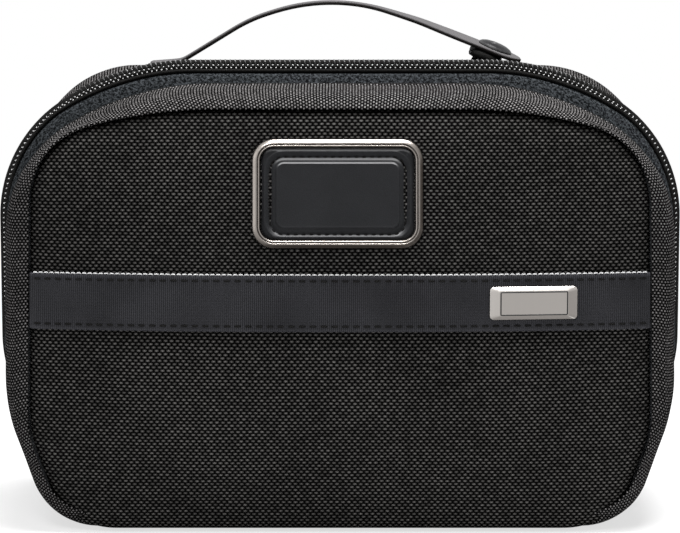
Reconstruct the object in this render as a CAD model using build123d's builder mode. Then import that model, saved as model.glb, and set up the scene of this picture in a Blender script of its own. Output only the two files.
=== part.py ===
"""Zip-around toiletry bag that opens like a clam: two padded halves joined by a fold in the base.

Millimetres. X runs to the right, Y to the back, Z up. The origin is at the middle of the base,
and the closed zip lies in the plane Y = 0.
"""
from build123d import *
from dataclasses import dataclass
import math
import os

os.makedirs("parts", exist_ok=True)

# Outline of the closed zip line, its right-hand half seen from the front
zip_top = 169.5
half_width = 127.0
top_corner_x = 88.0
top_corner_radius = 70.0
shoulder_z = 132.0
shoulder_radius = 58.0
hip_z = 45.0
hip_radius = 60.0
base_corner_x = 111.5
base_corner_radius = 28.0
least_corner_radius = 3.0
corner_share = 0.49

# Zip chain: the coils tuck in towards the base a little more than the cloth does
chain_hip_z = 58.0
chain_hip_radius = 50.0
chain_base_x = 107.0
zip_end_z = 22.0
coil_gap = 1.0
coil_depth = 2.4
coil_outside = 1.0
coil_inside = 1.6
tape_thickness = 0.8
tape_level = -0.1
tape_flat = 3.5
tape_root = 5.0

# Cloth, foam and lining
cloth = 1.6
panel_cloth = 1.2
lining_cloth = 0.6
binding_thickness = 2.0
binding_inset = 1.0
foam_thickness = 3.3
layer_gap = 0.1
body_gap = 0.3

# Fold in the base that joins the halves
fold_height = 1.0
fold_radius = 0.7
fold_half_length = 94.0
fold_relief = 1.5
fold_relief_depth = 16.0
base_press = 0.2
half_gap = 0.4

# Crown of the padded panels
crown_centre_z = 82.0
crown_power = 2.4
crown_scales = (0.94, 0.84, 0.7, 0.5, 0.25)

# Band across the front panel
band_z = 85.5
band_width = 20.4
band_thickness = 1.2

# Patch on the front panel: a metal frame round a leather piece
patch_z = 125.2
patch_width = 61.0
patch_height = 39.0
patch_corner_radius = 7.8
patch_bar = 3.2
patch_frame_height = 3.0
patch_frame_round = 1.1
patch_sink = 1.0
patch_leather_thickness = 1.5
patch_field_width = 44.0
patch_field_height = 23.4
patch_field_radius = 3.5
patch_field_rise = 0.5
patch_post_radius = 1.0
patch_post_spacing = 20.0
backing_thickness = 0.8
post_root = 0.5

# Bare metal plate on the band
plate_x = 69.0
plate_length = 31.6
plate_height = 11.9
plate_thickness = 2.0
plate_sink = 0.4
plate_end_bevel = 3.4
plate_top_bevel = 1.5
plate_bevel_drop = 0.9
plate_post_radius = 0.8
plate_post_spacing = 18.0
plate_backing_length = 24.0
plate_backing_height = 6.0

# Net pocket inside the back half
pocket_depth = 6.8
net_thickness = 0.6
net_top_z = 90.0
net_pitch = 8.5
net_hole = 6.6
net_border = 5.0
hem_height = 8.0
hem_thickness = 1.4

# Carry handle on the back half
strap_y = 21.0
strap_width = 16.0
strap_thickness = 1.7
strap_foot = (-60.5, 168.8)
strap_corners = ((-34.0, 185.2), (-3.0, 195.3), (30.0, 184.9))
strap_end = (70.5, 168.4)
strap_radii = (60.0, 72.0, 80.0)
tail_end = (-72.0, 167.9)
fold_room = 2.2
anchor_border = 2.0
anchor_thickness = 0.8
backing_sheet = 0.6

# Press stud at the free end of the handle
snap_x = 56.0
cap_radius = 6.6
cap_height = 3.1
cap_rim = 0.8
cap_post_radius = 1.8
socket_radius = 5.6
socket_height = 2.6
socket_bore_radius = 3.5
socket_roof = 0.7
stud_head_radius = 1.9
stud_head_height = 1.5
stud_flange_radius = 5.0
stud_flange_height = 0.9
stud_post_radius = 1.6
riser_radius = 8.0
riser_margin = 0.6

# Zip slider and pull, parked at the lower right
slider_z = 31.0
slider_length = 13.0
slider_width = 9.2
slider_plate = 1.2
slider_corner_radius = 2.5
slider_web_length = 3.0
slider_web = 0.4
bridge_length = 6.0
bridge_width = 2.6
bridge_height = 2.7
bridge_bar = 0.9
link_wire_radius = 0.55
link_length = 7.6
link_width = 5.4
tab_length = 9.0
tab_width = 6.0
tab_thickness = 2.0
tab_corner_radius = 1.8

# Cloth tabs over the zip ends
end_tab_width = 7.0
end_tab_height = 9.0
end_tab_thickness = 0.8


@dataclass(frozen=True)
class Half:
    """Sizes of one half of the bag; depths run from the zip line to the front or to the back."""

    name: str
    side: int
    rim_depth: float
    rim_sides: float
    rim_above: float
    belly_depth: float
    belly_sides: float
    belly_above: float
    knee_depth: float
    knee_inset: float
    knee_below: float
    seam_depth: float
    seam_sides: float
    seam_below: float
    seam_above: float
    crown: float


front = Half(
    name="front", side=1,
    rim_depth=11.0, rim_sides=3.0, rim_above=6.0,
    belly_depth=28.0, belly_sides=5.0, belly_above=6.8,
    knee_depth=40.0, knee_inset=9.0, knee_below=2.5,
    seam_depth=46.0, seam_sides=14.3, seam_below=7.0, seam_above=13.8,
    crown=9.0,
)
back = Half(
    name="back", side=-1,
    rim_depth=11.0, rim_sides=3.0, rim_above=2.6,
    belly_depth=28.0, belly_sides=2.4, belly_above=3.4,
    knee_depth=41.0, knee_inset=7.0, knee_below=2.5,
    seam_depth=49.0, seam_sides=14.3, seam_below=7.0, seam_above=13.8,
    crown=7.2,
)

bag_corners = (
    (top_corner_x, zip_top),
    (half_width, shoulder_z),
    (half_width, hip_z),
    (base_corner_x, 0.0),
)
bag_radii = (top_corner_radius, shoulder_radius, hip_radius, base_corner_radius)
chain_corners = (
    (top_corner_x, zip_top),
    (half_width, shoulder_z),
    (half_width, chain_hip_z),
    (chain_base_x, 0.0),
)
chain_radii = (top_corner_radius, shoulder_radius, chain_hip_radius, base_corner_radius)


def inner_line(start, end, inset):
    """Line through two corners moved towards the middle of the bag: a point and a direction."""
    run, rise = end[0] - start[0], end[1] - start[1]
    length = math.hypot(run, rise)
    direction = (run / length, rise / length)
    return (start[0] + direction[1] * inset, start[1] - direction[0] * inset), direction


def crossing(first, second):
    """Point where two lines cross, each given as a point and a direction."""
    (px, pz), (dx, dz) = first
    (qx, qz), (ex, ez) = second
    step = ((qx - px) * ez - (qz - pz) * ex) / (dx * ez - dz * ex)
    return px + dx * step, pz + dz * step


def drawn_in(corners, sides, below, above):
    """Right-hand corners of an outline drawn in by its own amount at its sides, base and top."""
    top, shoulder, hip, base = corners
    ceiling = ((0.0, top[1] - above), (1.0, 0.0))
    floor = ((0.0, base[1] + below), (1.0, 0.0))
    slope = inner_line(top, shoulder, sides)
    wall = inner_line(shoulder, hip, sides)
    taper = inner_line(hip, base, sides)
    lines = (ceiling, slope, wall, taper, floor)
    return [crossing(lines[i], lines[i + 1]) for i in range(4)]


def rounded_corner(before, corner, after, radius):
    """Start, middle and end of the arc that rounds a corner, kept within the sides beside it."""
    back, ahead = (before - corner).normalized(), (after - corner).normalized()
    half_angle = math.acos(back.dot(ahead)) / 2
    room = min((before - corner).length, (after - corner).length) * corner_share
    reach = min(radius / math.tan(half_angle), room)
    fitted = reach * math.tan(half_angle)
    inwards = (back + ahead).normalized()
    middle = corner + inwards * (fitted / math.sin(half_angle) - fitted)
    return corner + back * reach, middle, corner + ahead * reach


def outline(depth, sides, below, above, corners=bag_corners, radii=bag_radii, scale=1.0):
    """Flat face with the bag's outline, drawn in and scaled, at a depth in front of the zip."""
    right = [
        (x * scale, crown_centre_z + (z - crown_centre_z) * scale)
        for x, z in drawn_in(corners, sides, below, above)
    ]
    rounds = [max(radius - sides, least_corner_radius) * scale for radius in radii]
    points = [Vector(x, z) for x, z in right + [(-x, z) for x, z in reversed(right)]]
    with BuildSketch(Plane.XZ.offset(depth)) as face:
        with BuildLine():
            bends = [
                rounded_corner(points[i - 1], points[i], points[(i + 1) % len(points)], radius)
                for i, radius in enumerate(rounds + rounds[::-1])
            ]
            for i, bend in enumerate(bends):
                ThreePointArc(*bend)
                Line(bend[2], bends[(i + 1) % len(bends)][0])
        make_face()
    return face.sketch


def layered(half, rows, **shape):
    """Solid through outlines; each row is a depth and what it is drawn in at sides, base, top."""
    with BuildPart() as body:
        loft([outline(half.side * depth, *insets, **shape) for depth, *insets in rows], ruled=True)
    return body.part


def slab_box(half, near, far, low, high, left=-half_width - 10, right=half_width + 10):
    """Box between two depths, two heights and two sides of a half."""
    middle = ((left + right) / 2, -half.side * (near + far) / 2, (low + high) / 2)
    return Pos(*middle) * Box(right - left, far - near, high - low, mode=Mode.PRIVATE)


def gusset_rows(half, inset, near=half_gap / 2):
    """Rows of the gusset's skin moved in by inset: depth, then sides, base and top."""
    rows = [
        (near, half.rim_sides, fold_relief, half.rim_above),
        (fold_relief_depth, half.rim_sides, -base_press, half.rim_above),
        (half.belly_depth, half.belly_sides, -base_press, half.belly_above),
        (half.knee_depth, half.knee_inset, half.knee_below, half.knee_inset),
        (half.seam_depth, half.seam_sides, half.seam_below, half.seam_above),
    ]
    return [(depth, *(amount + inset for amount in amounts)) for depth, *amounts in rows]


def gusset_row_at(half, inset, depth):
    """Row of the gusset's skin at any depth, between the rows beside it."""
    rows = gusset_rows(half, inset)
    nearer = max(row for row in rows if row[0] <= depth)
    farther = min(row for row in rows if row[0] > depth)
    share = (depth - nearer[0]) / (farther[0] - nearer[0])
    return tuple(a + (b - a) * share for a, b in zip(nearer, farther))


def gusset_skin(half, inset):
    """Solid with the gusset's outer shape, moved in by inset."""
    return layered(half, gusset_rows(half, inset))


def sheet_on_gusset(half, outer, thickness, patch):
    """Sheet that follows the gusset, between two insets, where the patch box lies."""
    with BuildPart() as sheet:
        add(gusset_skin(half, outer))
        add(gusset_skin(half, outer + thickness), mode=Mode.SUBTRACT)
        add(patch, mode=Mode.INTERSECT)
    return sheet.part


def prism(plane, length, height, bottom, top, radius=0.0):
    """Flat block on a plane, from one height above it to another, with rounded corners."""
    with BuildPart() as block:
        with BuildSketch(plane.offset(bottom)):
            if radius:
                RectangleRounded(length, height, radius)
            else:
                Rectangle(length, height)
        extrude(amount=top - bottom)
    return block.part


def rods(plane, places, radius, bottom, top):
    """Round posts square to a plane at each of the places."""
    with BuildPart() as posts:
        with BuildSketch(plane.offset(bottom)):
            with Locations(*places):
                Circle(radius)
        extrude(amount=top - bottom)
    return posts.part


def panel_insets(half, extra=0.0):
    """What the panel is drawn in at sides, base and top, inside the gusset's edge."""
    seat = cloth + layer_gap + extra
    return half.seam_sides + seat, half.seam_below + seat, half.seam_above + seat


def crown_depth(half, scale):
    """Depth of the panel's outer face where the outline has been scaled this far in."""
    return half.seam_depth + half.crown * (1 - scale**crown_power)


def crown_slope(half, scale, reach):
    """Fall of the panel's face for each millimetre outwards; reach is where its edge lies."""
    return half.crown * crown_power * scale ** (crown_power - 1) / reach


def patch_place():
    """Plane on which the patch lies, sunk a little into the crown of the front panel."""
    reach = zip_top - panel_insets(front)[2] - crown_centre_z
    scale = (patch_z - crown_centre_z) / reach
    tilt = math.atan(crown_slope(front, scale, reach))
    return Plane(
        origin=(0, -crown_depth(front, scale), patch_z),
        x_dir=(1, 0, 0),
        z_dir=(0, -math.cos(tilt), math.sin(tilt)),
    ).offset(-patch_sink)


def plate_place():
    """Plane on which the bare plate lies, sunk a little into the band."""
    reach = half_width - panel_insets(front)[0]
    scale = plate_x / reach
    tilt = math.atan(crown_slope(front, scale, reach))
    return Plane(
        origin=(plate_x, -crown_depth(front, scale) - band_thickness, band_z),
        x_dir=(math.cos(tilt), math.sin(tilt), 0),
        z_dir=(math.sin(tilt), -math.cos(tilt), 0),
    ).offset(-plate_sink)


patch_plane = patch_place()
patch_post_x = (patch_width - patch_bar) / 2
patch_post_z = patch_post_spacing / 2
patch_post_places = [
    (x, z) for x in (-patch_post_x, patch_post_x) for z in (-patch_post_z, patch_post_z)
]
patch_post_end = -panel_cloth - layer_gap - backing_thickness
patch_backing_top = -panel_cloth - layer_gap
patch_backing_height = patch_height - 2 * patch_bar

plate_plane = plate_place()
plate_post_places = [(-plate_post_spacing / 2, 0), (plate_post_spacing / 2, 0)]
plate_backing_top = plate_sink - band_thickness - panel_cloth - body_gap
plate_post_end = plate_backing_top - backing_thickness

strap_fall = math.atan2(strap_corners[-1][1] - strap_end[1], strap_end[0] - strap_corners[-1][0])
snap_z = strap_corners[-1][1] - (snap_x - strap_corners[-1][0]) * math.tan(strap_fall)
snap_plane = Plane(
    origin=(snap_x, strap_y, snap_z),
    x_dir=(math.cos(strap_fall), 0, -math.sin(strap_fall)),
    z_dir=(math.sin(strap_fall), 0, math.cos(strap_fall)),
)
socket_bottom = -strap_thickness / 2 - socket_height
flange_top = socket_bottom - body_gap
flange_bottom = flange_top - stud_flange_height
snap_lift = (snap_z - zip_top + back.belly_above) / math.cos(strap_fall)
post_bottom = -snap_lift - cloth + 2 * layer_gap


def crowned(half, drop, inset, root):
    """Pillow shape of a panel, from a flat root to its crown lowered by drop."""
    insets = panel_insets(half, inset)
    edge = half.seam_depth - drop
    sections = [outline(half.side * root, *insets), outline(half.side * edge, *insets)]
    for scale in crown_scales:
        depth = crown_depth(half, scale) - drop
        sections.append(outline(half.side * depth, *insets, scale=scale))
    with BuildPart() as pillow:
        loft(sections, ruled=True)
        if half is front:
            flat = prism(
                patch_plane, patch_width + 1, patch_height + 1, -drop, 12, patch_corner_radius
            )
            add(flat, mode=Mode.SUBTRACT)
    return pillow.part


def make_gusset(half):
    """Wall of a half: a ring of cloth from zip to panel seam, closed and pressed flat below."""
    with BuildPart() as gusset:
        add(gusset_skin(half, 0.0))
        add(gusset_skin(half, cloth), mode=Mode.SUBTRACT)
        add(slab_box(half, -1, half.rim_depth, zip_end_z, zip_top + 1), mode=Mode.SUBTRACT)
        add(slab_box(half, -1, half.seam_depth, -1, 0), mode=Mode.SUBTRACT)
        with Locations(Location((0, 0, fold_height), (0, 90, 0))):
            Cylinder(fold_radius + body_gap, 4 * half_width, mode=Mode.SUBTRACT)
        if half is back:
            hole = rods(snap_plane, [(0, 0)], stud_post_radius + layer_gap, post_bottom - 1, 0)
            add(hole, mode=Mode.SUBTRACT)
    return gusset


def make_panel(half):
    """Outer cloth of a padded panel."""
    with BuildPart() as panel:
        add(crowned(half, 0.0, 0.0, half.seam_depth - panel_cloth))
        inside = crowned(half, panel_cloth, 0.0, half.seam_depth - 2 * panel_cloth)
        add(inside, mode=Mode.SUBTRACT)
        if half is front:
            patch_holes = rods(patch_plane, patch_post_places, patch_post_radius + layer_gap, -4, 4)
            plate_holes = rods(plate_plane, plate_post_places, plate_post_radius + layer_gap, -4, 4)
            add(patch_holes, mode=Mode.SUBTRACT)
            add(plate_holes, mode=Mode.SUBTRACT)
    return panel


def make_foam(half):
    """Foam pad that gives the panel its crown, with room for what is fixed through the panel."""
    root = half.seam_depth - panel_cloth - foam_thickness
    with BuildPart() as foam:
        add(crowned(half, panel_cloth + layer_gap, binding_thickness, root))
        if half is front:
            patch_room = prism(
                patch_plane, patch_width + 2 * layer_gap, patch_backing_height + 2 * layer_gap,
                patch_backing_top - backing_thickness - layer_gap, 4,
            )
            plate_room = prism(
                plate_plane, plate_backing_length + 2 * layer_gap,
                plate_backing_height + 2 * layer_gap,
                plate_backing_top - backing_thickness - layer_gap, 4,
            )
            add(patch_room, mode=Mode.SUBTRACT)
            add(plate_room, mode=Mode.SUBTRACT)
    return foam


def make_seam_binding(half):
    """Bound seam allowance: a ring inside the seam between gusset and panel."""
    seat = (half.seam_sides, half.seam_below, half.seam_above)
    outer = [amount + binding_inset for amount in seat]
    inner = [amount - layer_gap for amount in panel_insets(half, binding_thickness)]
    start = half.seam_depth - panel_cloth - foam_thickness + layer_gap
    width = foam_thickness - 2 * layer_gap
    with BuildPart() as binding:
        extrude(outline(half.side * start, *outer), amount=half.side * width)
        extrude(outline(half.side * start, *inner), amount=half.side * width, mode=Mode.SUBTRACT)
    return binding


lining_seat = cloth + tape_thickness + 2 * layer_gap


def lining_floor(half):
    """Depth of the lining's outer face behind the foam."""
    return half.seam_depth - panel_cloth - foam_thickness - layer_gap


def make_lining(half):
    """Thin lining inside the gusset and over the foam."""
    floor = lining_floor(half)
    skins = []
    for inset, end in ((lining_seat, floor), (lining_seat + lining_cloth, floor - lining_cloth)):
        rows = gusset_rows(half, inset, near=half_gap / 2 + layer_gap)[:4]
        skins.append(layered(half, rows + [gusset_row_at(half, inset, end)]))
    with BuildPart() as lining:
        add(skins[0])
        add(skins[1], mode=Mode.SUBTRACT)
        mouth = slab_box(half, -1, half.rim_depth + layer_gap, zip_end_z, zip_top + 1)
        add(mouth, mode=Mode.SUBTRACT)
    return lining


def make_tape(half):
    """Cloth tape of the zip, from under the gusset's rim up to the coil."""
    coil_end = (coil_gap / 2) + coil_depth
    bends = (half.rim_depth + tape_root, half.rim_depth, coil_end + tape_flat, coil_end)
    faces = []
    for level in (0.0, tape_thickness):
        under_rim = cloth + layer_gap + level
        rim = (half.rim_sides + under_rim, fold_relief + under_rim, half.rim_above + under_rim)
        chain = [tape_level + level] * 3
        sections = [outline(half.side * depth, *rim) for depth in bends[:2]]
        for depth in bends[2:]:
            sections.append(outline(half.side * depth, *chain, chain_corners, chain_radii))
        faces.append(sections)
    with BuildPart() as tape:
        loft(faces[0], ruled=True)
        loft(faces[1], ruled=True, mode=Mode.SUBTRACT)
        below = slab_box(half, -1, half.seam_depth, -5, zip_end_z + layer_gap)
        add(below, mode=Mode.SUBTRACT)
    return tape


def make_coil(half):
    """One side of the zip's coil, from end to end round the bag."""
    start = half.side * coil_gap / 2
    outer = outline(start, *[-coil_outside] * 3, chain_corners, chain_radii)
    inner = outline(start, *[coil_inside] * 3, chain_corners, chain_radii)
    with BuildPart() as coil:
        extrude(outer, amount=half.side * coil_depth)
        extrude(inner, amount=half.side * coil_depth, mode=Mode.SUBTRACT)
        below = slab_box(half, -1, half.rim_depth, -5, zip_end_z + layer_gap)
        add(below, mode=Mode.SUBTRACT)
    return coil


def write(piece, name):
    """Label a finished piece and write it as its own file."""
    piece.part.label = name
    export_step(piece.part, f"parts/{name}.step")


for half in (front, back):
    write(make_gusset(half), f"{half.name}_gusset")
    write(make_panel(half), f"{half.name}_panel")
    write(make_foam(half), f"{half.name}_foam_pad")
    write(make_seam_binding(half), f"{half.name}_seam_binding")
    write(make_lining(half), f"{half.name}_lining")
    write(make_tape(half), f"{half.name}_zip_tape")
    write(make_coil(half), f"{half.name}_zip_coil")

# Band sewn across the front panel
with BuildPart() as trim_band:
    add(crowned(front, -band_thickness, 0.0, front.seam_depth))
    add(crowned(front, 0.0, 0.0, front.seam_depth - panel_cloth), mode=Mode.SUBTRACT)
    strip = slab_box(
        front, 0, front.seam_depth + front.crown + 2 * band_thickness,
        band_z - band_width / 2, band_z + band_width / 2,
    )
    add(strip, mode=Mode.INTERSECT)
    plate_seat = prism(
        plate_plane, plate_length + 2 * layer_gap, plate_height + 2 * layer_gap, -layer_gap, 5
    )
    add(plate_seat, mode=Mode.SUBTRACT)
    add(
        rods(plate_plane, plate_post_places, plate_post_radius + layer_gap, -4, 4),
        mode=Mode.SUBTRACT,
    )
write(trim_band, "trim_band")

# Metal frame of the patch, with posts through the panel
with BuildPart() as patch_frame:
    with BuildSketch(patch_plane):
        RectangleRounded(patch_width, patch_height, patch_corner_radius)
        RectangleRounded(
            patch_width - 2 * patch_bar, patch_height - 2 * patch_bar,
            patch_corner_radius - patch_bar, mode=Mode.SUBTRACT,
        )
    extrude(amount=patch_frame_height)
    face = patch_frame.faces().sort_by(Axis((0, 0, 0), patch_plane.z_dir))[-1]
    fillet(face.edges(), patch_frame_round)
    add(rods(patch_plane, patch_post_places, patch_post_radius, patch_post_end, post_root))
write(patch_frame, "patch_frame")

# Leather piece inside the frame, with a raised field
with BuildPart() as patch_leather:
    with BuildSketch(patch_plane):
        RectangleRounded(
            patch_width - 2 * patch_bar - 2 * layer_gap,
            patch_height - 2 * patch_bar - 2 * layer_gap,
            patch_corner_radius - patch_bar - layer_gap,
        )
    extrude(amount=patch_leather_thickness)
    with BuildSketch(patch_plane.offset(patch_leather_thickness)):
        RectangleRounded(patch_field_width, patch_field_height, patch_field_radius)
    extrude(amount=patch_field_rise)
write(patch_leather, "patch_leather")

# Backing plate behind the panel that holds the frame's posts
with BuildPart() as patch_backing:
    with BuildSketch(patch_plane.offset(patch_backing_top)):
        Rectangle(patch_width, patch_backing_height)
        with Locations(*patch_post_places):
            Circle(patch_post_radius + layer_gap, mode=Mode.SUBTRACT)
    extrude(amount=-backing_thickness)
write(patch_backing, "patch_backing")

# Bare metal plate with bevelled edges and two posts
with BuildPart() as name_plate:
    with BuildSketch(plate_plane):
        Rectangle(plate_length, plate_height)
    extrude(amount=plate_thickness - plate_bevel_drop)
    with BuildSketch(plate_plane.offset(plate_thickness - plate_bevel_drop)):
        Rectangle(plate_length, plate_height)
    with BuildSketch(plate_plane.offset(plate_thickness)):
        Rectangle(plate_length - 2 * plate_end_bevel, plate_height - 2 * plate_top_bevel)
    loft(ruled=True)
    add(rods(plate_plane, plate_post_places, plate_post_radius, plate_post_end, post_root))
write(name_plate, "name_plate")

# Backing strip behind the panel that holds the plate's posts
with BuildPart() as plate_backing:
    with BuildSketch(plate_plane.offset(plate_backing_top)):
        Rectangle(plate_backing_length, plate_backing_height)
        with Locations(*plate_post_places):
            Circle(plate_post_radius + layer_gap, mode=Mode.SUBTRACT)
    extrude(amount=-backing_thickness)
write(plate_backing, "plate_backing")

# Fold cord in the base, round which the front half swings
with BuildPart() as base_fold:
    with Locations(Location((0, 0, fold_height), (0, 90, 0))):
        Cylinder(fold_radius, 2 * fold_half_length)
write(base_fold, "base_fold")

# Net pocket inside the back half, with its elastic hem
net_depth = lining_floor(back) - lining_cloth - pocket_depth - net_thickness
net_seat = lining_seat + lining_cloth + layer_gap
net_insets = gusset_row_at(back, net_seat, net_depth + hem_thickness)[1:]
with BuildPart() as pocket_net:
    with BuildSketch(Plane.XZ.offset(-net_depth)) as mesh:
        with Locations((0, net_top_z - net_pitch * 10)):
            Rectangle(2 * half_width, 2 * net_pitch * 10)
        add(outline(-net_depth, *net_insets), mode=Mode.INTERSECT)
    extrude(amount=-net_thickness)
    with BuildSketch(Plane.XZ.offset(-net_depth)) as holes:
        with Locations((0, crown_centre_z / 2)):
            with GridLocations(net_pitch, net_pitch, 27, 9):
                Rectangle(net_hole, net_hole)
        inside = [amount + net_border for amount in net_insets]
        add(outline(-net_depth, *inside), mode=Mode.INTERSECT)
    extrude(amount=-net_thickness, mode=Mode.SUBTRACT)
write(pocket_net, "pocket_net")

with BuildPart() as pocket_hem:
    add(extrude(outline(-net_depth, *net_insets), amount=-hem_thickness, mode=Mode.PRIVATE))
    add(slab_box(back, 0, back.seam_depth, net_top_z, net_top_z + hem_height), mode=Mode.INTERSECT)
write(pocket_hem, "pocket_hem")

# Cloth tabs over the ends of the zip
tab_low = zip_end_z - layer_gap - end_tab_height
for name, left, right in (
    ("left_zip_end_tab", -half_width, 0.0),
    ("right_zip_end_tab", 0.0, half_width),
):
    with BuildPart() as end_tab:
        corner = slab_box(
            back, half_gap, half_gap + end_tab_width, tab_low, tab_low + end_tab_height, left, right
        )
        add(sheet_on_gusset(back, -end_tab_thickness, end_tab_thickness, corner))
    write(end_tab, name)

# Handle strap: its sewn tail, and the free part that swings up from the fold at its foot
strap_front = Plane.XZ.offset(strap_width / 2 - strap_y)
with BuildPart() as handle_tail:
    with BuildSketch(strap_front):
        with BuildLine():
            Line(strap_foot, tail_end)
        trace(line_width=strap_thickness)
        with Locations(strap_foot):
            Circle(fold_room, mode=Mode.SUBTRACT)
    extrude(amount=-strap_width)
write(handle_tail, "handle_tail")

with BuildPart() as handle_strap:
    with BuildSketch(strap_front):
        with BuildLine():
            FilletPolyline(strap_foot, *strap_corners, strap_end, radius=strap_radii)
        trace(line_width=strap_thickness)
        with Locations(strap_foot):
            Circle(strap_thickness / 2)
    extrude(amount=-strap_width)
    with BuildSketch(Plane.XY.offset(zip_top - 20)):
        reach = strap_end[0] - strap_foot[0] + strap_width
        with Locations((strap_end[0] - reach / 2, strap_y)):
            SlotOverall(reach, strap_width)
    extrude(amount=60, mode=Mode.INTERSECT)
    add(
        rods(snap_plane, [(0, 0)], cap_post_radius + layer_gap, -strap_thickness, strap_thickness),
        mode=Mode.SUBTRACT,
    )
write(handle_strap, "handle_strap")

# Sheet sewn on the gusset under the tail
half_strap = strap_width / 2 + anchor_border
anchor_box = slab_box(
    back, strap_y - half_strap, strap_y + half_strap, shoulder_z, zip_top + 5,
    tail_end[0] - anchor_border, strap_foot[0] + 4 * anchor_border,
)
with BuildPart() as handle_anchor:
    add(sheet_on_gusset(back, -anchor_thickness, anchor_thickness, anchor_box))
write(handle_anchor, "handle_anchor")

# Sheets inside the gusset, clear of the zip tape, that back the tail's stitches and the press stud
backing_near = back.rim_depth + tape_root + layer_gap
backing_far = strap_y + half_strap
tail_box = slab_box(
    back, backing_near, backing_far, shoulder_z, zip_top + 5,
    tail_end[0] - anchor_border, strap_foot[0] + 4 * anchor_border,
)
with BuildPart() as anchor_backing:
    add(sheet_on_gusset(back, cloth + layer_gap, backing_sheet, tail_box))
write(anchor_backing, "anchor_backing")

snap_box = slab_box(
    back, backing_near, backing_far, shoulder_z, zip_top + 5,
    snap_x - 2 * riser_radius, snap_x + riser_radius,
)
with BuildPart() as snap_backing:
    add(sheet_on_gusset(back, cloth + layer_gap, backing_sheet, snap_box))
    add(
        rods(snap_plane, [(0, 0)], stud_post_radius + layer_gap, post_bottom - 1, 0),
        mode=Mode.SUBTRACT,
    )
write(snap_backing, "snap_backing")

# Cloth mound under the press stud, drawn up by the pull of the strap
foot_of_post = snap_plane.from_local_coords(Vector(0, 0, post_bottom))
with BuildPart() as snap_riser:
    with BuildSketch(Plane.XY.offset(zip_top - back.belly_above - cloth)) as riser_foot:
        with Locations((foot_of_post.X, strap_y)):
            Circle(riser_radius)
    with BuildSketch(snap_plane.offset(flange_bottom)) as riser_top:
        Circle(stud_flange_radius + riser_margin)
    loft([riser_foot.sketch, riser_top.sketch])
    add(gusset_skin(back, -layer_gap), mode=Mode.SUBTRACT)
    add(
        rods(snap_plane, [(0, 0)], stud_post_radius + layer_gap, post_bottom - 1, 0),
        mode=Mode.SUBTRACT,
    )
write(snap_riser, "snap_riser")

# Press stud: head, flange and the post that is riveted through the gusset
head_top = flange_top + stud_head_height + body_gap
with BuildPart() as snap_stud:
    add(rods(snap_plane, [(0, 0)], stud_flange_radius, flange_bottom, flange_top))
    add(rods(snap_plane, [(0, 0)], stud_head_radius, flange_top, head_top))
    add(rods(snap_plane, [(0, 0)], stud_post_radius, post_bottom, flange_bottom))
write(snap_stud, "snap_stud")

# Socket under the strap and the domed cap above it
with BuildPart() as snap_socket:
    add(rods(snap_plane, [(0, 0)], socket_radius, socket_bottom, -strap_thickness / 2))
    add(
        rods(
            snap_plane, [(0, 0)], socket_bore_radius,
            socket_bottom - 1, -strap_thickness / 2 - socket_roof,
        ),
        mode=Mode.SUBTRACT,
    )
write(snap_socket, "snap_socket")

with BuildPart() as snap_cap:
    add(rods(snap_plane, [(0, 0)], cap_radius, strap_thickness / 2, strap_thickness / 2 + cap_height))
    crown_edge = snap_cap.edges().sort_by(Axis((0, 0, 0), snap_plane.z_dir))[-1]
    fillet(crown_edge, cap_height - cap_rim)
    add(rods(snap_plane, [(0, 0)], cap_post_radius, -strap_thickness / 2, strap_thickness / 2))
write(snap_cap, "snap_cap")

# Zip slider: two plates joined by a web between the coils, and a bridge for the pull
chain_rise = math.atan2(chain_hip_z, half_width - chain_base_x)
slider_x = chain_base_x + slider_z / math.tan(chain_rise)
slider_plane = Plane(
    origin=(slider_x, 0, slider_z),
    x_dir=(math.cos(chain_rise), 0, math.sin(chain_rise)),
    z_dir=(math.sin(chain_rise), 0, -math.cos(chain_rise)),
)
plate_under = coil_outside + body_gap
plate_over = plate_under + slider_plate
inner_over = -coil_inside - body_gap
pivot_height = plate_over + (bridge_height - bridge_bar) / 2
with BuildPart() as zip_slider:
    for bottom in (plate_under, inner_over - slider_plate):
        add(
            prism(
                slider_plane, slider_length, slider_width, bottom, bottom + slider_plate,
                slider_corner_radius,
            )
        )
    with BuildSketch(slider_plane.offset(inner_over - slider_plate / 2)):
        with Locations(((slider_web_length - slider_length) / 2, 0)):
            Rectangle(slider_web_length, slider_web)
    extrude(amount=plate_over - inner_over)
    with BuildSketch(slider_plane.offset(plate_over - slider_plate / 2)):
        Rectangle(bridge_length, bridge_width)
    extrude(amount=bridge_height + slider_plate / 2)
    with BuildSketch(slider_plane.offset(plate_over)):
        Rectangle(bridge_length - 2 * bridge_bar, bridge_width + 1)
    extrude(amount=bridge_height - bridge_bar, mode=Mode.SUBTRACT)
write(zip_slider, "zip_slider")

# Pull: a wire link through the bridge, and a tab on its lower bar
link_plane = slider_plane.offset(pivot_height)
with BuildPart() as pull_link:
    with BuildSketch(link_plane.offset(-link_wire_radius)):
        with Locations((-link_length / 2, 0)):
            Rectangle(link_length + 2 * link_wire_radius, link_width)
            Rectangle(
                link_length - 2 * link_wire_radius, link_width - 4 * link_wire_radius,
                mode=Mode.SUBTRACT,
            )
    extrude(amount=2 * link_wire_radius)
    crossways = Axis(slider_plane.origin, slider_plane.y_dir)
    fillet(pull_link.edges().filter_by(crossways), link_wire_radius * 0.6)
write(pull_link, "pull_link")

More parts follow.
